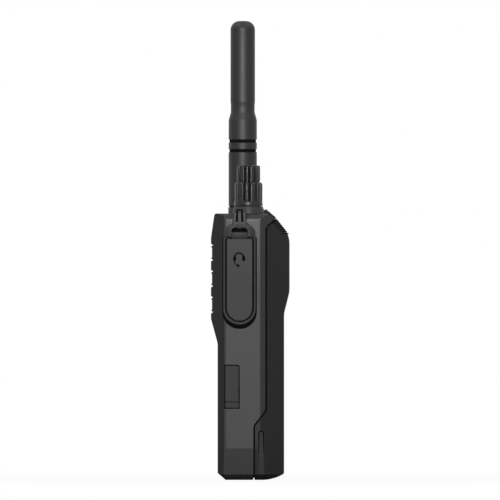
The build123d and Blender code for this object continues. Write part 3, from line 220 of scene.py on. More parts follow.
def math_node(tree, operation, *values):
    """A Math node with its inputs linked to sockets or set to numbers."""
    node = tree.nodes.new("ShaderNodeMath")
    node.operation = operation
    for slot, value in enumerate(values):
        if isinstance(value, (int, float)):
            node.inputs[slot].default_value = value
        else:
            tree.links.new(value, node.inputs[slot])
    return node.outputs[0]


def object_place(tree):
    """Where a point lies on its own piece, in metres."""
    return tree.nodes.new("ShaderNodeTexCoord").outputs["Object"]


# %% Moulded grain
def grain_group():
    """Grain: fine noise at Scale per metre for the surface height, and slow noise for
    how the sheen and the shade drift. Height = fine noise, Drift = slow noise."""
    group, source, sink = new_group(
        "moulded_grain", [("Scale", 2500.0), ("Drift Scale", 60.0)],
        [("Height", "NodeSocketFloat"), ("Drift", "NodeSocketFloat")],
    )
    place = object_place(group)
    for scale, detail, out in (("Scale", 3.0, "Height"), ("Drift Scale", 4.0, "Drift")):
        noise = group.nodes.new("ShaderNodeTexNoise")
        noise.inputs["Detail"].default_value = detail
        group.links.new(place, noise.inputs["Vector"])
        group.links.new(source.outputs[scale], noise.inputs["Scale"])
        group.links.new(noise.outputs["Fac"], sink.inputs[out])
    return group


# %% Rubbed edges
def edge_group():
    """Edge mask: where a normal that is rounded over Radius differs from the true one,
    the surface is an edge. Mask = clamp((1 - dot) x Gain) x broken noise."""
    group, source, sink = new_group(
        "rubbed_edge", [("Radius", 0.0003), ("Gain", 3.0)], [("Mask", "NodeSocketFloat")],
    )
    soft = group.nodes.new("ShaderNodeBevel")
    soft.samples = 4
    group.links.new(source.outputs["Radius"], soft.inputs["Radius"])
    hard = group.nodes.new("ShaderNodeNewGeometry")
    dot = group.nodes.new("ShaderNodeVectorMath")
    dot.operation = "DOT_PRODUCT"
    group.links.new(soft.outputs["Normal"], dot.inputs[0])
    group.links.new(hard.outputs["Normal"], dot.inputs[1])
    bend = math_node(group, "SUBTRACT", 1.0, dot.outputs["Value"])
    strong = math_node(group, "MULTIPLY", bend, source.outputs["Gain"])
    noise = group.nodes.new("ShaderNodeTexNoise")
    noise.inputs["Scale"].default_value = 400.0
    group.links.new(object_place(group), noise.inputs["Vector"])
    broken = math_node(group, "MULTIPLY", strong, noise.outputs["Fac"])
    held = math_node(group, "MINIMUM", broken, 1.0)
    group.links.new(held, sink.inputs["Mask"])
    return group


# %% Painted shade and roughness on the foot
def foot_shade_group():
    """Foot mask for the painted shade and the rougher plastic along the bottom: how far a point is
    below Top, over Fade, held between 0 and 1.
    """
    group, source, sink = new_group(
        "foot_shade_and_roughness", [("Top", 0.0030), ("Fade", 0.0008)], [("Mask", "NodeSocketFloat")],
    )
    split = group.nodes.new("ShaderNodeSeparateXYZ")
    group.links.new(object_place(group), split.inputs["Vector"])
    below = math_node(group, "SUBTRACT", source.outputs["Top"], split.outputs["Z"])
    share = math_node(group, "DIVIDE", below, source.outputs["Fade"])
    held = math_node(group, "MINIMUM", math_node(group, "MAXIMUM", share, 0.0), 1.0)
    group.links.new(held, sink.inputs["Mask"])
    return group


GRAIN = grain_group()
EDGE = edge_group()
FOOT_SHADE = foot_shade_group()
print("node groups:", GRAIN.name, EDGE.name, FOOT_SHADE.name)


# %% One recipe for every finish
FINISHES = {}
RUBBED_SMOOTHER = 0.2        # how much of its wear a rubbed edge loses in roughness


def use_group(tree, group):
    """A node that holds one of the node groups."""
    node = tree.nodes.new("ShaderNodeGroup")
    node.node_tree = group
    return node


def finish(name, color, roughness, metallic=0.0, grain=2500.0, bump=0.00002, drift=0.15,
           wear=0.0, specular=0.3, sheen_drift=0.08, foot=0.0):
    """Adds a Principled material to FINISHES. Base colour = colour x (1 + drift x slow
    noise + wear x edge mask) x (1 - foot x foot mask), where the last factor is painted
    shade along the bottom; roughness = roughness + sheen_drift x slow noise - 0.2 x wear
    x edge mask + foot x foot mask, with the slow noise between -1 and 1; the grain is a
    bump of the given height in metres."""
    material = bpy.data.materials.new(name)
    material.use_nodes = True
    tree = material.node_tree
    shader = tree.nodes["Principled BSDF"]
    shader.inputs["Metallic"].default_value = metallic
    shader.inputs["Specular IOR Level"].default_value = specular
    noise = use_group(tree, GRAIN)
    noise.inputs["Scale"].default_value = grain
    slow = math_node(tree, "SUBTRACT", noise.outputs["Drift"], 0.5)
    worn = math_node(tree, "MULTIPLY", use_group(tree, EDGE).outputs["Mask"], wear)
    shade = math_node(tree, "MULTIPLY_ADD", slow, 2 * drift, 1.0)
    # Painted shade: the foot mask darkens the base colour along the bottom, and also roughens it.
    foot_shade_and_rough = math_node(tree, "MULTIPLY", use_group(tree, FOOT_SHADE).outputs["Mask"], foot)
    rubbed = math_node(tree, "ADD", shade, worn)
    lighter = math_node(tree, "MULTIPLY", rubbed, math_node(tree, "SUBTRACT", 1.0, foot_shade_and_rough))
    tint = tree.nodes.new("ShaderNodeVectorMath")
    tint.operation = "SCALE"
    tint.inputs[0].default_value = color
    tree.links.new(lighter, tint.inputs["Scale"])
    tree.links.new(tint.outputs["Vector"], shader.inputs["Base Color"])
    dull = math_node(tree, "MULTIPLY_ADD", slow, 2 * sheen_drift, roughness)
    smoother = math_node(tree, "MULTIPLY_ADD", worn, -RUBBED_SMOOTHER, dull)
    rougher = math_node(tree, "ADD", smoother, foot_shade_and_rough)
    tree.links.new(rougher, shader.inputs["Roughness"])
    relief = tree.nodes.new("ShaderNodeBump")
    relief.inputs["Distance"].default_value = bump
    tree.links.new(noise.outputs["Height"], relief.inputs["Height"])
    tree.links.new(relief.outputs["Normal"], shader.inputs["Normal"])
    FINISHES[name] = material


def grey(value):
    """A neutral colour."""
    return (value, value, value)


# %% The finishes
finish("casing", grey(0.014), 0.42, specular=0.34, wear=0.1, foot=0.75)
finish("front_casing", grey(0.012), 0.44, specular=0.18, wear=0.1, foot=0.75)
finish("battery_casing", grey(0.013), 0.44, specular=0.18, wear=0.1, foot=0.75)
finish("inlay", grey(0.021), 0.48, specular=0.2, grain=5000.0, bump=0.00001)
finish("control_plastic", grey(0.015), 0.32, specular=0.24, wear=0.1, bump=0.000005)
finish("button_rubber", grey(0.03), 0.6, specular=0.15, grain=3500.0)
finish("cover_rubber", grey(0.03), 0.46, specular=0.2, grain=3500.0, bump=0.00001)
# seal_rubber also finishes the black pieces further down that stand in for shade in grooves, gaps and
# seams.
finish("seal_rubber", grey(0.004), 0.8, specular=0.03, grain=3500.0)
finish("antenna_rubber", grey(0.004), 0.5, specular=0.34, grain=4000.0, bump=0.00001)
finish("cast_aluminium", grey(0.6), 0.5, metallic=1.0, bump=0.00006)
finish("cell_can", (0.45, 0.5, 0.6), 0.4, metallic=0.6)
finish("brass", (0.75, 0.6, 0.32), 0.3, metallic=1.0, grain=6000.0)
finish("contact_gold", (0.85, 0.68, 0.35), 0.28, metallic=1.0)
finish("steel", grey(0.55), 0.35, metallic=1.0, grain=6000.0, wear=0.3)
finish("blackened_steel", grey(0.02), 0.45, metallic=1.0)
finish("tinned_steel", grey(0.7), 0.38, metallic=1.0)
finish("board", (0.03, 0.16, 0.07), 0.4, grain=1200.0, drift=0.3)
finish("insulator", grey(0.012), 0.5, specular=0.15, wear=0.1)
finish("lens", (0.75, 0.78, 0.74), 0.18, grain=1500.0, bump=0.000005)
finish("cone", (0.08, 0.08, 0.09), 0.55, grain=900.0)
finish("screen", grey(0.012), 0.85, specular=0.1, grain=6000.0, bump=0.00008)
print(len(FINISHES), "finishes")

# %% Give each CAD node its finish
for part in frame["record"]["subparts"]:
    node = frame["nodes"][part["node"]]
    node.data.materials.clear()
    node.data.materials.append(FINISHES[part["material_slot"]])
# The cover's pin is steel too, but blackened.
frame["nodes"]["dust_cover_pin"].data.materials[0] = FINISHES["blackened_steel"]


def dress(piece, body, slot, *nodes):
    """Give a new piece its finish, its body and the CAD nodes that it stands for."""
    piece.data.materials.append(FINISHES[slot])
    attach(piece, body)
    if nodes:
        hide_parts(*nodes)
    return piece


def node_box(node):
    """A CAD node's lowest and highest corner, in millimetres."""
    low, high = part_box(node)
    return np.array(low) / MM, np.array(high) / MM


# %% [markdown]
# ## The antenna
# A stub antenna is a coil in a rubber sleeve: a stout foot with two grip rings, a short
# cone, and a rod with a domed tip. It is turned, so one profile of radius and height
# carries all of it, and the grip rings are dips in that radius.

# %% The antenna's sleeve
low, high = node_box("antenna_sheath")
antenna_centre = (low[:2] + high[:2]) / 2
SLEEVE_R, ROD_R, NECK_R = 6.74, 5.84, 5.68
TIP_ROUND = 4.3              # rounding of the tip
RINGS = (26.8, 31.4)         # heights of the grip rings above the foot
RING_WIDTH, RING_DEPTH = 1.7, 0.7
sleeve_top, cone_top, neck_top = low[2] + 41.3, low[2] + 45.3, low[2] + 49.2


def antenna_radius(r, z, t):
    """Radius less a dip at each ring: depth x (S curve in) x (S curve out), plus a
    0.04 mm mould line down both sides."""
    dip = sum(
        smooth_step(RING_WIDTH / 2 - np.abs(z - low[2] - ring), 0, 0.35) for ring in RINGS
    )
    line = 0.04 * np.exp(-(angle_gap(2 * t, np.pi) / 0.06) ** 2) * (r > 1)
    return r - RING_DEPTH * dip + line + 0 * t


dome = np.linspace(0, np.pi / 2, 16)
profile = np.concatenate([
    [[0.01, low[2]], [SLEEVE_R - 0.4, low[2]], [SLEEVE_R, low[2] + 0.4]],
    along([[SLEEVE_R, low[2] + 1], [SLEEVE_R, sleeve_top]], 0.12),
    along([[SLEEVE_R - 0.05, sleeve_top + 0.3], [NECK_R, cone_top]], 0.5),
    [[NECK_R, neck_top], [ROD_R - 0.05, neck_top + 0.35], [ROD_R, neck_top + 0.7]],
    along([[ROD_R, neck_top + 2], [ROD_R, high[2] - TIP_ROUND]], 4.0),
    np.stack([
        ROD_R - TIP_ROUND + TIP_ROUND * np.cos(dome), high[2] - TIP_ROUND + TIP_ROUND * np.sin(dome),
    ], -1),
    [[0.01, high[2]]],
])
sleeve = close_skin("antenna_sleeve", [turned(antenna_centre, profile, antenna_radius)])
dress(sleeve, "antenna", "antenna_rubber", "antenna_sheath")

# %% Black rings in the grip grooves, painted shade
# The grooves' shade is painted: black rings fill them a little below the sleeve's surface.
RING_OUT, RING_HALF = SLEEVE_R - 0.35, RING_WIDTH / 2 - 0.15
ring_shade_grids = [
    turned(antenna_centre, np.array([
        [ROD_R, low[2] + ring - RING_HALF], [RING_OUT, low[2] + ring - RING_HALF],
        [RING_OUT, low[2] + ring + RING_HALF], [ROD_R, low[2] + ring + RING_HALF],
        [ROD_R, low[2] + ring - RING_HALF],
    ])) for ring in RINGS
]
dress(close_skin("antenna_ring_shade", ring_shade_grids), "antenna", "seal_rubber")

# %% [markdown]
# ## The knobs
# Narrow grooves split each knob into lobes for the fingers, and one lobe is slimmer and
# stands a little proud: it points at the setting. A groove is a bell-shaped dip in the
# radius at its own angle. It fades out above the plain skirt and under the top edge.

# %% Where the grooves are
POINTER = math.radians(-6.5)
POINTER_HALF = math.radians(11.6)
GROOVES = 12
GROOVE_WIDTH = 0.052         # radians, half width of the bell
GROOVE_DEPTH = 1.3
LOBE_CROWN, POINTER_RIB = 0.22, 0.25
ROUND_CORE = 4.3             # within this radius a knob stays round
SKIRT = 2.1
groove_angles = np.linspace(POINTER + POINTER_HALF, POINTER + 2 * np.pi - POINTER_HALF, GROOVES)
near = np.linspace(-2.6, 2.6, 15) * GROOVE_WIDTH
lobe_middles = (groove_angles[1:] + groove_angles[:-1]) / 2
lobe_spread = np.linspace(-0.1, 0.1, 5)
knob_angles = np.sort(np.concatenate([
    (groove_angles[:, None] + near).ravel(), (lobe_middles[:, None] + lobe_spread).ravel(),
    POINTER + np.linspace(-0.06, 0.06, 5),
]) % (2 * np.pi))
print(len(knob_angles), "columns round a knob")


def fluted(base_z, top_z):
    """Radius of a knob: r, less a bell at each groove, less a slight crown over each
    lobe, plus a low bell for the pointer."""
    def radius(r, z, t):
        gap = np.abs(angle_gap(t[..., None], groove_angles)).min(-1)
        dips = GROOVE_DEPTH * np.exp(-(gap / GROOVE_WIDTH) ** 2)
        crown = LOBE_CROWN * (1 - smooth_step(gap, 0, 0.2))
        rib = POINTER_RIB * np.exp(-(angle_gap(t, POINTER) / 0.12) ** 4)
        rise = smooth_step(z, base_z + SKIRT - 0.3, base_z + SKIRT + 0.7)
        fall = 1 - smooth_step(z, top_z - 0.5, top_z - 0.1)
        return np.where(r > ROUND_CORE, r + (rib - dips - crown) * rise * fall, r + 0 * t)
    return radius


# %% Both knobs
def knob(name, node, lower_r, upper_r, step):
    """A knob turned about its own shaft: a foot set back under the skirt, the lower
    tier, a shoulder with a narrow waist above it, the upper tier and a dished top. It
    is hollow from below over the nut."""
    low, high = node_box(node)
    base, top = low[2], high[2]
    step_z = base + step
    cavity_r, cavity_top = 5.25, base + 1.9
    foot = base - 0.4
    lower = np.array([
        [0.01, cavity_top], [cavity_r, cavity_top], [cavity_r, foot],
        [lower_r - 0.75, foot], [lower_r - 0.7, base + 0.02], [lower_r - 0.1, base],
        [lower_r + 0.1, base + 0.12], [lower_r + 0.16, base + 0.4],
        [lower_r + 0.13, base + 1.2], [lower_r + 0.02, base + 1.6],
    ])
    heights = np.linspace(base + SKIRT - 0.3, base + SKIRT + 0.8, 9)
    walls = np.stack([np.full(9, lower_r), heights], -1)
    t = np.linspace(0, np.pi / 2, 7)
    shoulder = np.stack([
        lower_r - 1.0 + 1.0 * np.cos(t), step_z - 1.5 + 1.5 * np.sin(t),
    ], -1)
    waist = np.array([
        [upper_r - 0.25, step_z + 0.02], [upper_r - 0.28, step_z + 0.4],
        [upper_r, step_z + 0.62],
    ])
    edge = np.stack([upper_r - 0.9 + 0.9 * np.cos(t), top - 0.9 + 0.9 * np.sin(t)], -1)
    cap = np.array([[upper_r - 1.3, top - 0.03], [upper_r - 1.7, top - 0.3], [0.01, top - 0.35]])
    rows = np.concatenate([lower, walls, shoulder, waist, edge, cap])
    skin = close_skin(name, [turned(KNOB_CENTRES[node], rows, fluted(base, top), knob_angles)])
    dress(skin, node, "control_plastic", node)


def shaft_centre(node):
    """The middle of a turned CAD node, seen from above."""
    low, high = node_box(node)
    return (low[:2] + high[:2]) / 2


KNOB_CENTRES = {
    "volume_knob": shaft_centre("volume_shaft"),
    "channel_knob": shaft_centre("channel_shaft"),
}
knob("volume_dial", "volume_knob", lower_r=6.74, upper_r=5.65, step=11.3)
knob("channel_dial", "channel_knob", lower_r=6.3, upper_r=5.4, step=7.0)

# %% [markdown]
# ## The accessory port's cover
# A soft cover keeps water out of the jacks. It is a rim that lies on the housing and
# grows into a thumb lip at its foot, a raised panel, a plug behind, and a knuckle that
# turns on the pin. Panel and plug are plates, and the rim is a strip between outlines.

# %% The cover's outlines
side_x = node_box("main_housing")[1][0]
cover_low, cover_high = node_box("dust_cover")
port_y = (cover_low[1] + cover_high[1]) / 2
COVER_HALF, PANEL_HALF, COVER_TOP = 7.8, 6.3, 116.0
cover_bottom = cover_low[2]
cover_mid = (cover_bottom + COVER_TOP) / 2


def on_right(mid_z):
    """Places a plate on the +X side: across is Y, up is Z, height is out along X."""
    def to_place(across, up, height):
        return np.stack([side_x + height, port_y + across, mid_z + up], -1)
    return to_place


# %% Rim, panel, plug and knuckle
rim_outline = rounded_box(COVER_HALF, (COVER_TOP - cover_bottom) / 2, (0.6, 0.6, 7.79, 7.79), 24)
PANEL_BOTTOM = cover_bottom + 2.0
PANEL_TOP = COVER_TOP - 0.7
GROOVE = 0.5                 # groove between rim and panel
LIP_TALL = 0.75              # how much taller the rim grows towards the bottom
LIP_FROM, LIP_FULL = 9.0, 20.5           # below the cover's middle
panel_mid, panel_half_high = (PANEL_TOP + PANEL_BOTTOM) / 2, (PANEL_TOP - PANEL_BOTTOM) / 2
panel_outline = rounded_box(PANEL_HALF - 0.1, panel_half_high, (0.8, 0.8, 6.19, 6.19), 24)
gap_outline = rounded_box(PANEL_HALF - 0.1 + GROOVE, panel_half_high + GROOVE / 2,
                          (1.0, 1.0, 6.69, 6.69), 24) + [0, panel_mid - cover_mid + 0.05]
bottom_share = smooth_step(-rim_outline[:, 1], LIP_FROM, LIP_FULL)
RIM_SECTION = [
    (0, 0.1), (0, 0.45), (0.08, 0.7), (0.22, 0.88), (0.42, 0.95), (0.6, 0.95), (0.78, 0.88),
    (0.93, 0.7), (1, 0.45), (1, 0.1),
]
rim_band = band(
    ring_of(rim_outline), ring_of(gap_outline), RIM_SECTION, on_right(cover_mid),
    1 + LIP_TALL * ring_of(bottom_share[:, None])[:, 0],
)
base_plate = plate(rim_outline, [[0.1, 0.1], [0.1, 0.3]], on_right(cover_mid))
panel_plate = plate(panel_outline, rim(0.2, 1.72, 0.4), on_right(panel_mid))
PLUG_HALF, PLUG_LOW, PLUG_HIGH = 4.45, 80.95, 111.05
plug_outline = rounded_box(PLUG_HALF, (PLUG_HIGH - PLUG_LOW) / 2, (1.3,) * 4)
plug_plate = plate(
    plug_outline, [[0, 0.3], [0, -1.2], [0.3, -1.5]], on_right((PLUG_HIGH + PLUG_LOW) / 2),
)
HINGE_RISE = 1.7             # hinge axis above the cover's top
KNUCKLE_R, KNUCKLE_HALF, WEB_TALL = 0.89, 3.75, 2.6


def knuckle():
    """A rod along Y round the pin with a web down to the panel: in the XZ plane a
    circle whose lower half is drawn down to 2.6 mm."""
    t = np.linspace(0, 2 * np.pi, 40, endpoint=False)
    below = np.sin(t) < 0
    x = KNUCKLE_R * np.cos(t)
    z = np.where(below, WEB_TALL, KNUCKLE_R) * np.sin(t)
    ends = np.array([-KNUCKLE_HALF, -KNUCKLE_HALF + 0.2, KNUCKLE_HALF - 0.2, KNUCKLE_HALF])
    shrink = np.array([0.85, 1, 1, 0.85])[:, None]
    return np.stack([
        side_x + KNUCKLE_R + x * shrink, port_y + ends[:, None] + 0 * x,
        COVER_TOP + HINGE_RISE + z * shrink,
    ], -1)


cover = close_skin("port_cover", [rim_band, base_plate, panel_plate, plug_plate, knuckle()])
dress(cover, "dust_cover", "cover_rubber", "dust_cover")

# %% Painted shadow round the cover
# A black sheet lies flat on the housing all round the cover and comes out furthest below
# the thumb lip: painted shadow of the cover's edge and of its lip. A second black sheet
# lies in the groove between rim and panel as painted shade.
SHADOW_SHEET_HALF, SHADOW_SHEET_LOW, SHADOW_SHEET_HIGH = 8.25, cover_bottom - 1.65, COVER_TOP + 0.25
shadow_sheet_outline = rounded_box(SHADOW_SHEET_HALF, (SHADOW_SHEET_HIGH - SHADOW_SHEET_LOW) / 2, (0.8, 0.8, 8.09, 8.09), 24)
# Painted shadow: these black sheets stand in for the shade under the lip and in the groove.
skirt = close_skin("cover_shadow_sheet", [
    plate(shadow_sheet_outline, [[0, 0.02], [0, 0.09]], on_right((SHADOW_SHEET_HIGH + SHADOW_SHEET_LOW) / 2)),
    plate(gap_outline, [[0, 0.25], [0, 0.36]], on_right(cover_mid)),
])
dress(skirt, "dust_cover", "seal_rubber")

# %% [markdown]
# ## The strap that keeps the cover
# One moulding holds the cover's pin. An arch frames the hinge on the side, a neck with
# a slot round a tongue runs up over the shoulder, and a ring lies round the volume knob.

# %% The arch
ARCH_HALF, ARCH_LEG_Z, ARCH_SPRING_Z, ARCH_RISE = 7.65, 116.4, 117.6, 5.9
HOOD_HALF, HOOD_SPRING_Z, HOOD_RISE = 3.82, 118.9, 2.0
t = np.linspace(0, np.pi, 49)
arch_outer = np.stack([-ARCH_HALF * np.cos(t), ARCH_SPRING_Z + ARCH_RISE * np.sin(t)], -1)
arch_inner = np.stack([-HOOD_HALF * np.cos(t), HOOD_SPRING_Z + HOOD_RISE * np.sin(t)], -1)
ends = [[-ARCH_HALF, ARCH_LEG_Z], [ARCH_HALF, ARCH_LEG_Z]]
arch_outer = np.concatenate([ends[:1], arch_outer, ends[1:]])
ends = [[-HOOD_HALF, ARCH_LEG_Z], [HOOD_HALF, ARCH_LEG_Z]]
arch_inner = np.concatenate([ends[:1], arch_inner, ends[1:]])
ARCH_SECTION = [
    (0, 0.02), (0, 0.12), (0.06, 0.3), (0.28, 0.85), (0.5, 1.35), (0.62, 1.42), (0.68, 1.66),
    (0.75, 1.77), (0.86, 1.78), (0.95, 1.7), (1, 1.5), (1, 0.02),
]
arch = band(arch_outer, arch_inner, ARCH_SECTION, on_right(0))

# %% The neck and its slot
NECK_HEIGHTS = (120.9, 122.4, 130.3)
NECK_HALVES = (3.9, 3.45, 2.85)          # half the neck's width at those heights
NECK_LOW, NECK_HIGH = NECK_HEIGHTS[0], NECK_HEIGHTS[-1]
NECK_OUT, NECK_THICK, NECK_BACK = 1.25, 0.9, 0.6
ROLL_FROM, ROLL_BACK = 126.5, 2.6        # where the neck starts to roll back, and how far
SLOT_LOW, SLOT_HIGH, SLOT_EDGE, TONGUE_EDGE = 123.4, 129.4, 0.53, 0.25
SLOT_BAR, SLOT_DEEP = 0.7, 0.8           # height of the slot's top bar, depth of the slot
LEAN_U, LEAN_Z = 0.03, 0.06              # half of how far the slot's walls lean
lean_across, lean_up = np.array([-LEAN_U, 0, LEAN_U]), np.array([-LEAN_Z, 0, LEAN_Z])
slot_edges = np.array([-SLOT_EDGE, -TONGUE_EDGE, TONGUE_EDGE, SLOT_EDGE])
across = np.unique(np.concatenate([
    np.linspace(-1, 1, 25), (slot_edges[:, None] + lean_across).ravel(),
]))
levels = np.unique(np.concatenate([
    np.linspace(NECK_LOW, NECK_HIGH, 40), SLOT_LOW + lean_up, SLOT_HIGH - SLOT_BAR + lean_up,
    SLOT_HIGH + lean_up,
]))


def neck_half(z):
    """Half the neck's width at height z."""
    return np.interp(z, NECK_HEIGHTS, NECK_HALVES)


def neck_roll(z):
    """How far the neck lies back over the shoulder at height z: the share of the way
    from the start of the roll to the neck's top, to the power of 2.5."""
    return ROLL_BACK * np.clip((z - ROLL_FROM) / (NECK_HIGH - ROLL_FROM), 0, 1) ** 2.5


def neck():
    """Rows up the neck, each a loop across its face and back behind it. The face is
    1.25 mm off the side and rolls back over the shoulder near the top, and drops by
    0.8 mm in the slot: an upside-down U between two edges that taper with the neck."""
    z = levels[:, None]
    u = across[None, :]
    between = smooth_step(SLOT_EDGE - np.abs(u), -LEAN_U, LEAN_U)
    legs = between * smooth_step(np.abs(u), TONGUE_EDGE - LEAN_U, TONGUE_EDGE + LEAN_U)
    bar_low = SLOT_HIGH - SLOT_BAR
    bar = between * smooth_step(z, bar_low - LEAN_Z, bar_low + LEAN_Z)
    above = smooth_step(z, SLOT_LOW - LEAN_Z, SLOT_LOW + LEAN_Z)
    below = 1 - smooth_step(z, SLOT_HIGH - LEAN_Z, SLOT_HIGH + LEAN_Z)
    slot = np.maximum(legs, bar) * above * below
    corner = 0.45 * np.clip((np.abs(u) - 0.86) / 0.14, 0, 1) ** 2
    face = NECK_OUT - neck_roll(z) - corner - SLOT_DEEP * slot
    back = np.minimum(face[:, ::-1] - NECK_THICK, -NECK_BACK - neck_roll(z))
    y = neck_half(z) * np.concatenate([u, u[:, ::-1]], axis=1)
    return np.stack([
        side_x + np.concatenate([face, back], axis=1), port_y + y, z + 0 * y,
    ], -1)


# %% Painted shade in the slot
def slot_shade_strip(u_from, u_to, z_from, z_to):
    """A black strip, painted shade, that fills part of the slot up to 0.1 mm below the face:
    rows up the neck, each a loop of front and back points at both edges."""
    z = np.linspace(z_from, z_to, 14)[:, None]
    u = np.array([u_from, u_to, u_to, u_from])[None, :]
    deep = np.array([0.1, 0.1, 0.85, 0.85])[None, :]
    face = NECK_OUT - neck_roll(z)
    return np.stack([side_x + face - deep, port_y + neck_half(z) * u, z + 0 * u], -1)


slot_shade = close_skin("slot_shade", [
    slot_shade_strip(-SLOT_EDGE, -TONGUE_EDGE, SLOT_LOW, SLOT_HIGH),
    slot_shade_strip(TONGUE_EDGE, SLOT_EDGE, SLOT_LOW, SLOT_HIGH),
    slot_shade_strip(-TONGUE_EDGE, TONGUE_EDGE, SLOT_HIGH - SLOT_BAR, SLOT_HIGH),
])
dress(slot_shade, "radio", "seal_rubber")

# %% The ring, and the whole strap
RING_R, RING_HOLE, RING_LOW, RING_HIGH = 7.5, 5.78, 127.42, 130.3
BRIM_IN, BRIM_R, BRIM_HIGH = 6.25, 6.95, 130.85
ring_profile = [
    [RING_HOLE, RING_LOW], [RING_R, RING_LOW], [RING_R - 0.1, RING_LOW + 1.0],
    [BRIM_R + 0.1, BRIM_HIGH - 0.5], [BRIM_R - 0.05, BRIM_HIGH - 0.08], [BRIM_R - 0.2, BRIM_HIGH],
    [BRIM_IN, BRIM_HIGH], [BRIM_IN - 0.1, RING_HIGH], [RING_HOLE, RING_HIGH],
    [RING_HOLE, RING_LOW],
]
ring = turned(KNOB_CENTRES["volume_knob"], ring_profile)
strap = close_skin("cover_strap", [arch, neck(), ring])
dress(strap, "radio", "cover_rubber", "cover_retainer")

# Painted shade: a black sheet behind the knuckle fills the opening under the arch.
hinge_shade_outline = rounded_box(HOOD_HALF + 0.2, 2.35, (0.3,) * 4) + [0, 118.7]
web = close_skin("hinge_shade_web", [plate(hinge_shade_outline, [[0, -0.55], [0, -0.45]], on_right(0))])
dress(web, "radio", "seal_rubber")

# %% [markdown]
# ## The headset sign
# A plain sign says what plugs in here: a headband, two ear cups and a microphone boom.
# It is a generic drawing, filled with black, and it lies a hair above the rubber.

# %% The sign's strokes
SIGN_TOP = 1.76              # height of the sign above the side
SIGN_Y, SIGN_Z = -0.2, 105.45
BAND_R, BAND_HALF = 2.2, 0.37


def stroke(points, half):
    """Outline of a bent stroke of even width: the path moved out square to itself by
    the half width on one side, then back along the other side."""
    points = np.asarray(points, float)
    run = np.gradient(points, axis=0)
    side = np.stack([-run[:, 1], run[:, 0]], -1)
    side /= np.linalg.norm(side, axis=1, keepdims=True)
    return np.concatenate([points - half * side, (points + half * side)[::-1]])


t = np.linspace(0.05, np.pi - 0.05, 24)
headband = stroke(np.stack([BAND_R * np.cos(t), 0.85 + BAND_R * np.sin(t)], -1), BAND_HALF)
cups = [rounded_box(0.72, 1.2, (0.55,) * 4) + [side * 2.15, 0.35] for side in (-1, 1)]
t = np.linspace(0, 1, 16)
boom = stroke(np.stack([-2.2 + 1.6 * t ** 1.5, -0.7 - 2.2 * np.sqrt(t + 0.02)], -1), 0.24)
tip = rounded_box(0.7, 0.65, (0.6,) * 4) + [-0.5, -3.0]
sign_grids = [
    plate(shape + [SIGN_Y, 0], [[0, SIGN_TOP - 0.25], [0, SIGN_TOP]], on_right(SIGN_Z))
    for shape in (headband, *cups, boom, tip)
]
sign = close_skin("headset_sign", sign_grids)
dress(sign, "dust_cover", "seal_rubber")

# %% [markdown]
# ## The side inlay
# A small bare insert low on the side, in two pieces with a hairline between them and one
# corner cut off. Each piece is a plate with a very small rim.

# %% The inlay's two pieces
low, high = node_box("side_inlay")
SPLIT_Z, HAIRLINE = 37.3, 0.32


def inlay_piece(bottom, top, cut):
    """A plate from bottom to top, as wide as the inlay, with straight-cut corners: a
    tiny cut at three of them and the given one at the rear top."""
    half_y, half_z = (high[1] - low[1]) / 2, (top - bottom) / 2
    outline = rounded_box(half_y, half_z, (cut, 0.15, 0.15, 0.15), 2)
    mid_y, mid_z = (low[1] + high[1]) / 2, (top + bottom) / 2

    def to_place(across, up, height):
        return np.stack([low[0] + height, mid_y + across, mid_z + up], -1)
    return plate(outline, [[0, 0], [0, high[0] - low[0] - 0.05], [0.05, high[0] - low[0]]], to_place)


inlay = close_skin("side_insert", [
    inlay_piece(low[2], SPLIT_Z - HAIRLINE / 2, 0.15),
    inlay_piece(SPLIT_Z + HAIRLINE / 2, high[2], 1.2),
])
dress(inlay, "radio", "inlay", "side_inlay")

# %% Painted shade round the inlay and in its hairline
# A black band round the inlay and a black strip in its hairline stand in for the shade in these gaps.
SHADE_GAP = 0.5
half_y, half_z = (high[1] - low[1]) / 2, (high[2] - low[2]) / 2
middle = ((low[1] + high[1]) / 2 - port_y, 0)
around = rounded_box(half_y + SHADE_GAP, half_z + SHADE_GAP, (1.2, 0.3, 0.3, 0.3)) + middle
within = rounded_box(half_y - 0.02, half_z - 0.02, (1.0, 0.05, 0.05, 0.05)) + middle
shade_gap_band = band(
    ring_of(around), ring_of(within), [(0, -0.05), (0, 0.03), (1, 0.03), (1, -0.05)],
    on_right((low[2] + high[2]) / 2),
)
hairline_outline = rounded_box(half_y - 0.05, HAIRLINE / 2 - 0.01, (0.1,) * 4) + middle
inlay_face = high[0] - side_x
hairline_strip = plate(
    hairline_outline, [[0, inlay_face - 0.3], [0, inlay_face - 0.06]], on_right(SPLIT_Z),
)
inlay_shade = close_skin("inlay_shade_gap", [shade_gap_band, hairline_strip])
dress(inlay_shade, "radio", "seal_rubber")

# %% [markdown]
# ## The battery's seam rib, black as painted shade
# A low black rib on the battery's front face runs all along the seam, so that no light
# shines through between battery and radio. Its ends, 0.02 mm off the case, show as a
# black line that is painted shade of the seam. It follows the radio's rear outline a
# hair behind it and stays inside the seam.

# %% The rib
HALF_WIDTH, BEND_Y, CORNER_Y, CORNER_X, TAPER, TAPER_TOP = 27.0, 4.8, 7.1, 26.1, 1.3, 15.1
CORNER_BACK, CORNER_IN = 12.0, 6.5       # how far the rear corner runs back and in
RIB_PROUD = 0.02
SEAM_FRONT, SEAM_REAR = 0.012, 0.84
SEAM_SNUG, STRAIGHT_TOP = 0.004, 24.0    # closer still on the straight foot of the seam


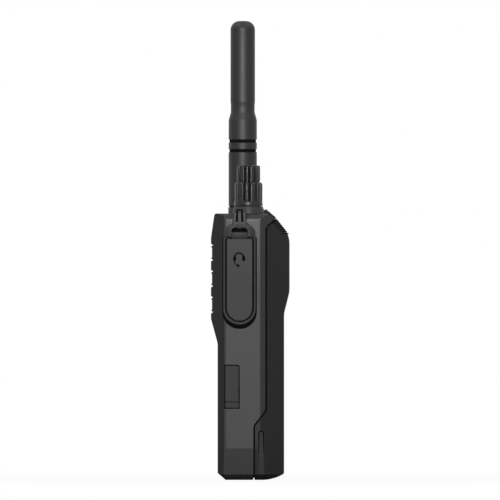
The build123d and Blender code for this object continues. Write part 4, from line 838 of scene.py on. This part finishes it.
def rounded_path(corners, bends, count=17):
    """A path through corners whose bends are arcs of the given radii: each arc starts
    r tan(turn / 2) before its corner, and its points lie r from a centre square to it."""
    corners = np.asarray(corners, float)
    runs = np.diff(corners, axis=0)
    runs /= np.linalg.norm(runs, axis=1, keepdims=True)
    path = [corners[:1]]
    for corner, before, after, r in zip(corners[1:], runs, runs[1:], bends):
        turn = math.atan2(before[0] * after[1] - before[1] * after[0], before @ after)
        start = corner - r * math.tan(abs(turn) / 2) * before
        square = math.copysign(r, turn) * np.array([-before[1], before[0]])
        t = np.linspace(0, turn, count)[:, None]
        path.append(start + square - square * np.cos(t) + math.copysign(r, turn) * before * np.sin(t))
    return np.concatenate([*path, corners[-1:]])


SEAM_CORNERS = ((1.46, 2.6), (1.46, 26.0), (7.2, 33.35), (7.2, 121.2), (12.15, 124.96))
SEAM_BENDS = (4.0, 4.0, 4.0)
seam_path = along(rounded_path(SEAM_CORNERS, SEAM_BENDS), 0.5)
run = np.gradient(seam_path, axis=0)
out = np.stack([run[:, 1], -run[:, 0]], -1)
out /= np.linalg.norm(out, axis=1, keepdims=True)
stand_off = np.interp(seam_path[:, 1:], [STRAIGHT_TOP, STRAIGHT_TOP + 0.5], [SEAM_SNUG, SEAM_FRONT])
near_side, far_side = seam_path + stand_off * out, seam_path + SEAM_REAR * out


def seam_shade_rib():
    """Rows along the path; each is a flat box across X between the two offsets. Its ends
    stand 0.02 mm off the case: the half width is 27 less a turn-in behind y = 4.8, a
    steeper one behind y = 7.1, and a taper below z = 15.1."""
    flat = np.stack([near_side, near_side, far_side, far_side], 1)
    y, z = flat[..., 0], flat[..., 1]
    bends = [BEND_Y, CORNER_Y, CORNER_Y + CORNER_BACK]
    half = np.interp(y, bends, [HALF_WIDTH, CORNER_X, CORNER_X - CORNER_IN])
    half = np.minimum(half, HALF_WIDTH - TAPER * np.maximum(1 - z / TAPER_TOP, 0)) + RIB_PROUD
    return np.stack([half * np.array([-1, 1, 1, -1]), y, z], -1)


# Painted shade: the rib's black ends draw the seam as a dark line.
rib = close_skin("battery_seam_shade_rib", [seam_shade_rib()])
dress(rib, "battery", "seal_rubber")

# %% Black edges in the charger grooves, painted shade
CHARGER_Y, CHARGER_HALF, CHARGER_FLOOR, EDGE_WIDE = 5.2, 1.28, 25.63, 0.5
CHARGER_LOW, CHARGER_TOP = 0.6, 23.6
charger_mid, charger_tall = (CHARGER_TOP + CHARGER_LOW) / 2, (CHARGER_TOP - CHARGER_LOW) / 2
outline = rounded_box(CHARGER_HALF, charger_tall, (1.27, 1.27, 0.1, 0.1), 10)
inner = rounded_box(CHARGER_HALF - EDGE_WIDE, charger_tall - EDGE_WIDE, (0.77, 0.77, 0.1, 0.1), 10)


def in_groove(side):
    """Places a strip on the floor of one charger groove, which follows the taper of the
    case; height is out along X."""
    def to_place(across, up, height):
        z = charger_mid + up
        x = side * (CHARGER_FLOOR + height - TAPER * np.maximum(1 - z / TAPER_TOP, 0))
        return np.stack([x, CHARGER_Y + across, z], -1)
    return to_place


EDGE_SECTION = [(0, -0.1), (0, 0.5), (0.5, 0.5), (1, 0.05), (1, -0.1)]
# Painted shade: black strips round each groove's floor darken its corners.
groove_shade_strips = [
    band(ring_of(outline), ring_of(inner), EDGE_SECTION, in_groove(side)) for side in (-1, 1)
]
dress(close_skin("charger_groove_shade", groove_shade_strips), "battery", "seal_rubber")

# %% [markdown]
# ## The battery latch
# The latch is a wedge of black rubbery plastic with teeth for a thumb. A rail on the
# deck guards it on either side, and a black strip runs from each rail along the deck's
# rear edge as painted shadow of the latch. All are side outlines carried across X.

# %% The latch's outline
LATCH_KNEE, LATCH_LOW_TIP, LATCH_TIP = (8.5, 127.65), (11.9, 125.55), (12.35, 125.75)
LATCH_REAR, LATCH_FRONT, LATCH_FOOT = (8.3, 129.3), (7.0, 129.4), (7.0, 127.65)
LATCH_HALF, TEETH, TOOTH_DEPTH = 7.98, 5, 0.5
steps = np.linspace(0, 1, 2 * TEETH + 1)[:, None]
ridge_run = np.array(LATCH_REAR) - LATCH_TIP
ridge = np.array(LATCH_TIP) + steps * ridge_run
ridge[1::2] += TOOTH_DEPTH * np.array([-ridge_run[1], ridge_run[0]]) / np.linalg.norm(ridge_run)
latch_outline = np.concatenate([
    [LATCH_FOOT, LATCH_KNEE, LATCH_LOW_TIP], ridge, [LATCH_FRONT],
])


def across_x(half, inset):
    """Steps that carry an outline from -half to half across X with bevelled ends."""
    return [[inset, -half], [0, inset - half], [0, half - inset], [inset, half]]


def side_on(across, up, height):
    """Places an outline drawn in Y and Z; height runs along X."""
    return np.stack([height, across, up + 0 * height], -1)


latch = close_skin("latch_wedge", [plate(latch_outline, across_x(LATCH_HALF, 0.15), side_on)])
dress(latch, "battery_latch", "insulator", "battery_latch")

# %% The rails beside the latch
RAIL_MID, RAIL_HALF = 8.65, 0.4
rail_outline = np.array([
    [5.0, 127.38], [8.3, 127.38], [12.0, 125.0], [12.2, 125.1], [12.05, 125.6], [8.9, 128.3],
    [8.3, 128.6], [7.0, 128.9], [6.0, 130.0], [5.2, 130.3], [5.0, 130.1],
])
rails = [
    plate(rail_outline, [[0, side * RAIL_MID - RAIL_HALF], [0, side * RAIL_MID + RAIL_HALF]], side_on)
    for side in (-1, 1)
]
dress(close_skin("latch_rails", rails), "radio", "insulator")

# %% The painted shadow along the deck's rear edge
STRIP_IN, STRIP_OUT = 9.2, 23.0
# Painted shadow: a black strip where the latch's shade falls on the deck.
shadow_strip_outline = np.array([
    [6.9, 127.38], [8.3, 127.38], [12.0, 125.0], [12.3, 125.3], [8.5, 127.9], [6.9, 127.9],
])
shadow_strips = [
    plate(shadow_strip_outline, [[0, low], [0, high]], side_on)
    for low, high in ((-STRIP_OUT, -STRIP_IN), (STRIP_IN, STRIP_OUT))
]
dress(close_skin("latch_shadow_strip", shadow_strips), "radio", "seal_rubber")

# %% [markdown]
# ## The battery's grip
# Fine ribs run across the slope over the battery's shoulder and turn its corners, so a
# thumb that pushes the latch doesn't slip.

# %% The grip ribs
GRIP_LEVELS = np.arange(117.8, 124.8, 1.0)
GRIP_PROUD, GRIP_SUNK, GRIP_TALL, GRIP_WRAP = 0.28, 0.3, 0.34, 3.4
SLOPE_LOW, SLOPE_HIGH = (18.81, 117.2), (12.35, 125.2)
CORNER_FROM, CORNER_TO = (CORNER_X, CORNER_Y), (19.6, 19.11)
OUT_CORNER, OUT_SLOPE = (0.88, 0.48), (0.5, 0.87)    # ways off the case, across and back


def grip_rib(z):
    """A rib at height z: a path along one rear corner, across the slope and along the
    other corner, with a low wedge for its section. The ends sink into the case."""
    y = np.interp(z, [SLOPE_LOW[1], SLOPE_HIGH[1]], [SLOPE_LOW[0], SLOPE_HIGH[0]])
    y = y - 0.05
    lean = (CORNER_FROM[0] - CORNER_TO[0]) / (CORNER_TO[1] - CORNER_FROM[1])
    edge = CORNER_FROM[0] - lean * (y - CORNER_FROM[1])
    wrap = y - np.array([GRIP_WRAP, GRIP_WRAP - 0.4, 0.2])
    side = np.stack([CORNER_FROM[0] - lean * (wrap - CORNER_FROM[1]), wrap], -1)
    path = np.concatenate([side, [[edge - 0.1, y]], [[0.1 - edge, y]], side[::-1] * [-1, 1]])
    half_out = np.array([OUT_CORNER] * 3 + [OUT_SLOPE])
    out = np.concatenate([half_out, half_out[::-1] * [-1, 1]])
    sunk = np.array([-0.25, 0, 0, 0, 0, 0, 0, -0.25])[:, None]
    reach = np.array([-GRIP_SUNK, GRIP_PROUD, -GRIP_SUNK])[None, :] + sunk
    up = z + np.array([GRIP_TALL, 0, -GRIP_TALL])[None, :] + 0 * reach
    flat = path[:, None] + reach[..., None] * out[:, None]
    return np.concatenate([flat, up[..., None]], -1)


grip = close_skin("shoulder_grip", [grip_rib(z) for z in GRIP_LEVELS])
dress(grip, "battery", "seal_rubber")

# %% [markdown]
# ## Ribs in the grille
# Two rounded ribs stand in each recessed band of the speaker grille, one either side of
# the slots.

# %% The grille ribs
crown_front = node_box("front_cover")[0][1]
GRILLE_Z, GRILLE_PITCH = 108.7, 12.5
GRILLE_RIB, GRILLE_RIB_R, GRILLE_HALF, GRILLE_FLOOR = 2.75, 0.5, 17.5, 0.5
GRILLE_SUNK, GRILLE_TALL = 0.12, 0.52
END_PAST, END_FADE = 0.6, 1.6            # where a rib would end, and how long it fades


def grille_rib(z):
    """A half-round bar across the front, faded into the floor of its band at both ends:
    rows across X, each a ring of radius about 0.5, flatter towards the ends."""
    x = np.linspace(-GRILLE_HALF, GRILLE_HALF, 33)[:, None]
    t = np.linspace(0, 2 * np.pi, 20, endpoint=False)[None, :]
    size = np.clip((GRILLE_HALF + END_PAST - np.abs(x)) / END_FADE, 0, 1) ** 0.5
    y = crown_front + GRILLE_FLOOR + GRILLE_SUNK - GRILLE_TALL * size * np.sin(t)
    return np.stack([x + 0 * t, y, z + GRILLE_RIB_R * np.cos(t) + 0 * x], -1)


ribs = [
    grille_rib(GRILLE_Z - GRILLE_PITCH * row + side * GRILLE_RIB)
    for row in range(3) for side in (-1, 1)
]
grille = close_skin("grille_ribs", ribs)
dress(grille, "radio", "front_casing")

# %% [markdown]
# ## The buttons
# The push-to-talk button is a long rubber pad with grip ribs across it, and the two keys
# below it are small crowned pads. All are plates on the -X side.

# %% Button pads
def on_left(node):
    """Places a plate on the -X side about the middle of a node: height is out along -X."""
    low, high = node_box(node)
    mid = (low + high) / 2

    def to_place(across, up, height):
        return np.stack([-side_x - height, mid[1] + across, mid[2] + up], -1)
    return to_place


def pad(name, node, half_wide, half_high, corner, proud, ribs=()):
    """A pad that stands proud of the side, with a lip behind the wall and rounded ribs."""
    place = on_left(node)
    outline = rounded_box(half_wide, half_high, (corner,) * 4, 16)
    lip = rounded_box(half_wide + 1, half_high + 1, (corner,) * 4, 16)
    grids = [
        plate(outline, rim(-2.4, proud, min(0.8, proud * 0.8)), place),
        plate(lip, [[0, -3.0], [0, -2.3]], place),
    ]
    for z in ribs:
        bar = rounded_box(half_wide - 1.9, 0.42, (0.4,) * 4) + [0, z]
        grids.append(plate(bar, rim(proud - 0.3, proud + 0.28, 0.25, 4), place))
    skin = close_skin(name, grids)
    dress(skin, node, "button_rubber", node)


PTT_RIBS = np.linspace(-7.5, 7.5, 7)
pad("ptt_pad", "ptt_button", half_wide=5.25, half_high=17.75, corner=4.9, proud=1.5, ribs=PTT_RIBS)
for key in ("upper", "lower"):
    pad(f"{key}_key_pad", f"side_key_{key}", half_wide=3.75, half_high=4.5, corner=1.75, proud=0.75)

# %% [markdown]
# ## Camera, light and floor
# The camera stands far off on the port's side with a long lens, so the side looks nearly
# flat. One broad lamp in front of the side lights it, two weak ones high up fill the
# rest, and a narrow spot gives the antenna its long highlight.

# %% The camera
DISTANCE = 10.0
VIEW_WIDTH = 0.239           # metres across the picture at the object
VIEW_Y, VIEW_Z = -0.00012, 0.10994
SENSOR = 36.0
camera_data = bpy.data.cameras.new("camera")
camera_data.sensor_width = SENSOR
camera_data.lens = SENSOR * (DISTANCE - side_x * MM) / VIEW_WIDTH
camera_data.clip_end = 50
camera = add_object("camera", camera_data)
camera.location = (DISTANCE, VIEW_Y, VIEW_Z)
camera.rotation_euler = (math.pi / 2, 0, math.pi / 2)
bpy.context.scene.camera = camera
print("lens, mm:", round(camera_data.lens, 1))


# %% The lamps
def lamp(name, place, size, power):
    """A square area lamp at place, turned towards the middle of the radio."""
    data = bpy.data.lights.new(name, "AREA")
    data.size = size
    data.energy = power
    light = add_object(name, data)
    light.location = place
    aim = np.array([0, 0, 0.1]) - np.array(place)
    light.rotation_euler = (
        math.atan2(math.hypot(aim[0], aim[1]), -aim[2]), 0, math.atan2(aim[1], aim[0]) - math.pi / 2,
    )


lamp("key", place=(1.55, -0.10, 0.50), size=0.5, power=16.0)
lamp("front_fill", place=(0.2, -0.8, 1.5), size=0.8, power=8)
lamp("rear_fill", place=(0.2, 0.8, 1.5), size=0.8, power=6)

# %% A spot on the antenna
SPOT_PLACE = (1.5, 0.0, 0.3)
SPOT_DROP = 0.112            # how far its axis has dropped where it meets the antenna
spot_data = bpy.data.lights.new("antenna_spot", "SPOT")
spot_data.spot_size = math.radians(5.0)
spot_data.spot_blend = 0.6
spot_data.shadow_soft_size = 0.045
spot_data.energy = 55.0
spot = add_object("antenna_spot", spot_data)
spot.location = SPOT_PLACE
spot.rotation_euler = (math.pi / 2 - math.atan2(SPOT_DROP, SPOT_PLACE[0]), 0, math.pi / 2)

# %% The floor and the white surroundings
floor_mesh = bpy.data.meshes.new("floor")
FLOOR = 30.0
corners = [(-FLOOR, -FLOOR, 0), (FLOOR, -FLOOR, 0), (FLOOR, FLOOR, 0), (-FLOOR, FLOOR, 0)]
floor_mesh.from_pydata(corners, [], [(0, 1, 2, 3)])
add_object("floor", floor_mesh)


def seen_directly(tree):
    """1 for rays that come from the camera, a mirror or glass, and 0 for light."""
    path = tree.nodes.new("ShaderNodeLightPath")
    direct = math_node(tree, "MAXIMUM", path.outputs["Is Camera Ray"], path.outputs["Is Glossy Ray"])
    return math_node(tree, "MAXIMUM", direct, path.outputs["Is Transmission Ray"])


def smooth_rise(tree, length, near, far, low, high):
    """A smooth rise from low at the length near to high at the length far."""
    rise = tree.nodes.new("ShaderNodeMapRange")
    rise.interpolation_type = "SMOOTHSTEP"
    ends = (("From Min", near), ("From Max", far), ("To Min", low), ("To Max", high))
    for socket, value in ends:
        rise.inputs[socket].default_value = value
    tree.links.new(length, rise.inputs["Value"])
    return rise.outputs["Result"]


# %% The floor's finish
# Near the radio the floor keeps a little of its shadow. In reflections it is dark there,
# so that the glossy foot doesn't mirror a white floor. Further out it is white.
FLOOR_WHITE = 0.96           # share of the floor's brightness that shadow can't dim
FLOOR_GREY = 0.2
paint = bpy.data.materials.new("floor_white")
paint.use_nodes = True
tree = paint.node_tree
shader = tree.nodes["Principled BSDF"]
shader.inputs["Base Color"].default_value = (*grey(FLOOR_GREY), 1)
shader.inputs["Roughness"].default_value = 0.9
shader.inputs["Specular IOR Level"].default_value = 0.1
glow = tree.nodes.new("ShaderNodeEmission")
blend = tree.nodes.new("ShaderNodeMixShader")
length = tree.nodes.new("ShaderNodeVectorMath")
length.operation = "LENGTH"
tree.links.new(object_place(tree), length.inputs[0])
whiter = smooth_rise(tree, length.outputs["Value"], 0.05, 0.4, FLOOR_WHITE, 1)
mirrored = smooth_rise(tree, length.outputs["Value"], 0.045, 0.15, 0.1, 1)
path = tree.nodes.new("ShaderNodeLightPath")
by_eye = math_node(tree, "MAXIMUM", path.outputs["Is Camera Ray"], mirrored)
near_white = math_node(tree, "MULTIPLY", whiter, by_eye)
share = math_node(tree, "MULTIPLY", seen_directly(tree), near_white)
tree.links.new(share, blend.inputs[0])
tree.links.new(shader.outputs[0], blend.inputs[1])
tree.links.new(glow.outputs[0], blend.inputs[2])
tree.links.new(blend.outputs[0], tree.nodes["Material Output"].inputs["Surface"])
floor_mesh.materials.append(paint)

# %% The world
AMBIENT = 0.15
world = bpy.data.worlds.new("studio")
world.use_nodes = True
bpy.context.scene.world = world
sky = world.node_tree.nodes["Background"]
strength = math_node(
    world.node_tree, "MULTIPLY_ADD", seen_directly(world.node_tree), 1 - AMBIENT, AMBIENT,
)
sky.inputs["Color"].default_value = (1, 1, 1, 1)
world.node_tree.links.new(strength, sky.inputs["Strength"])
bpy.context.scene.view_settings.view_transform = "Standard"
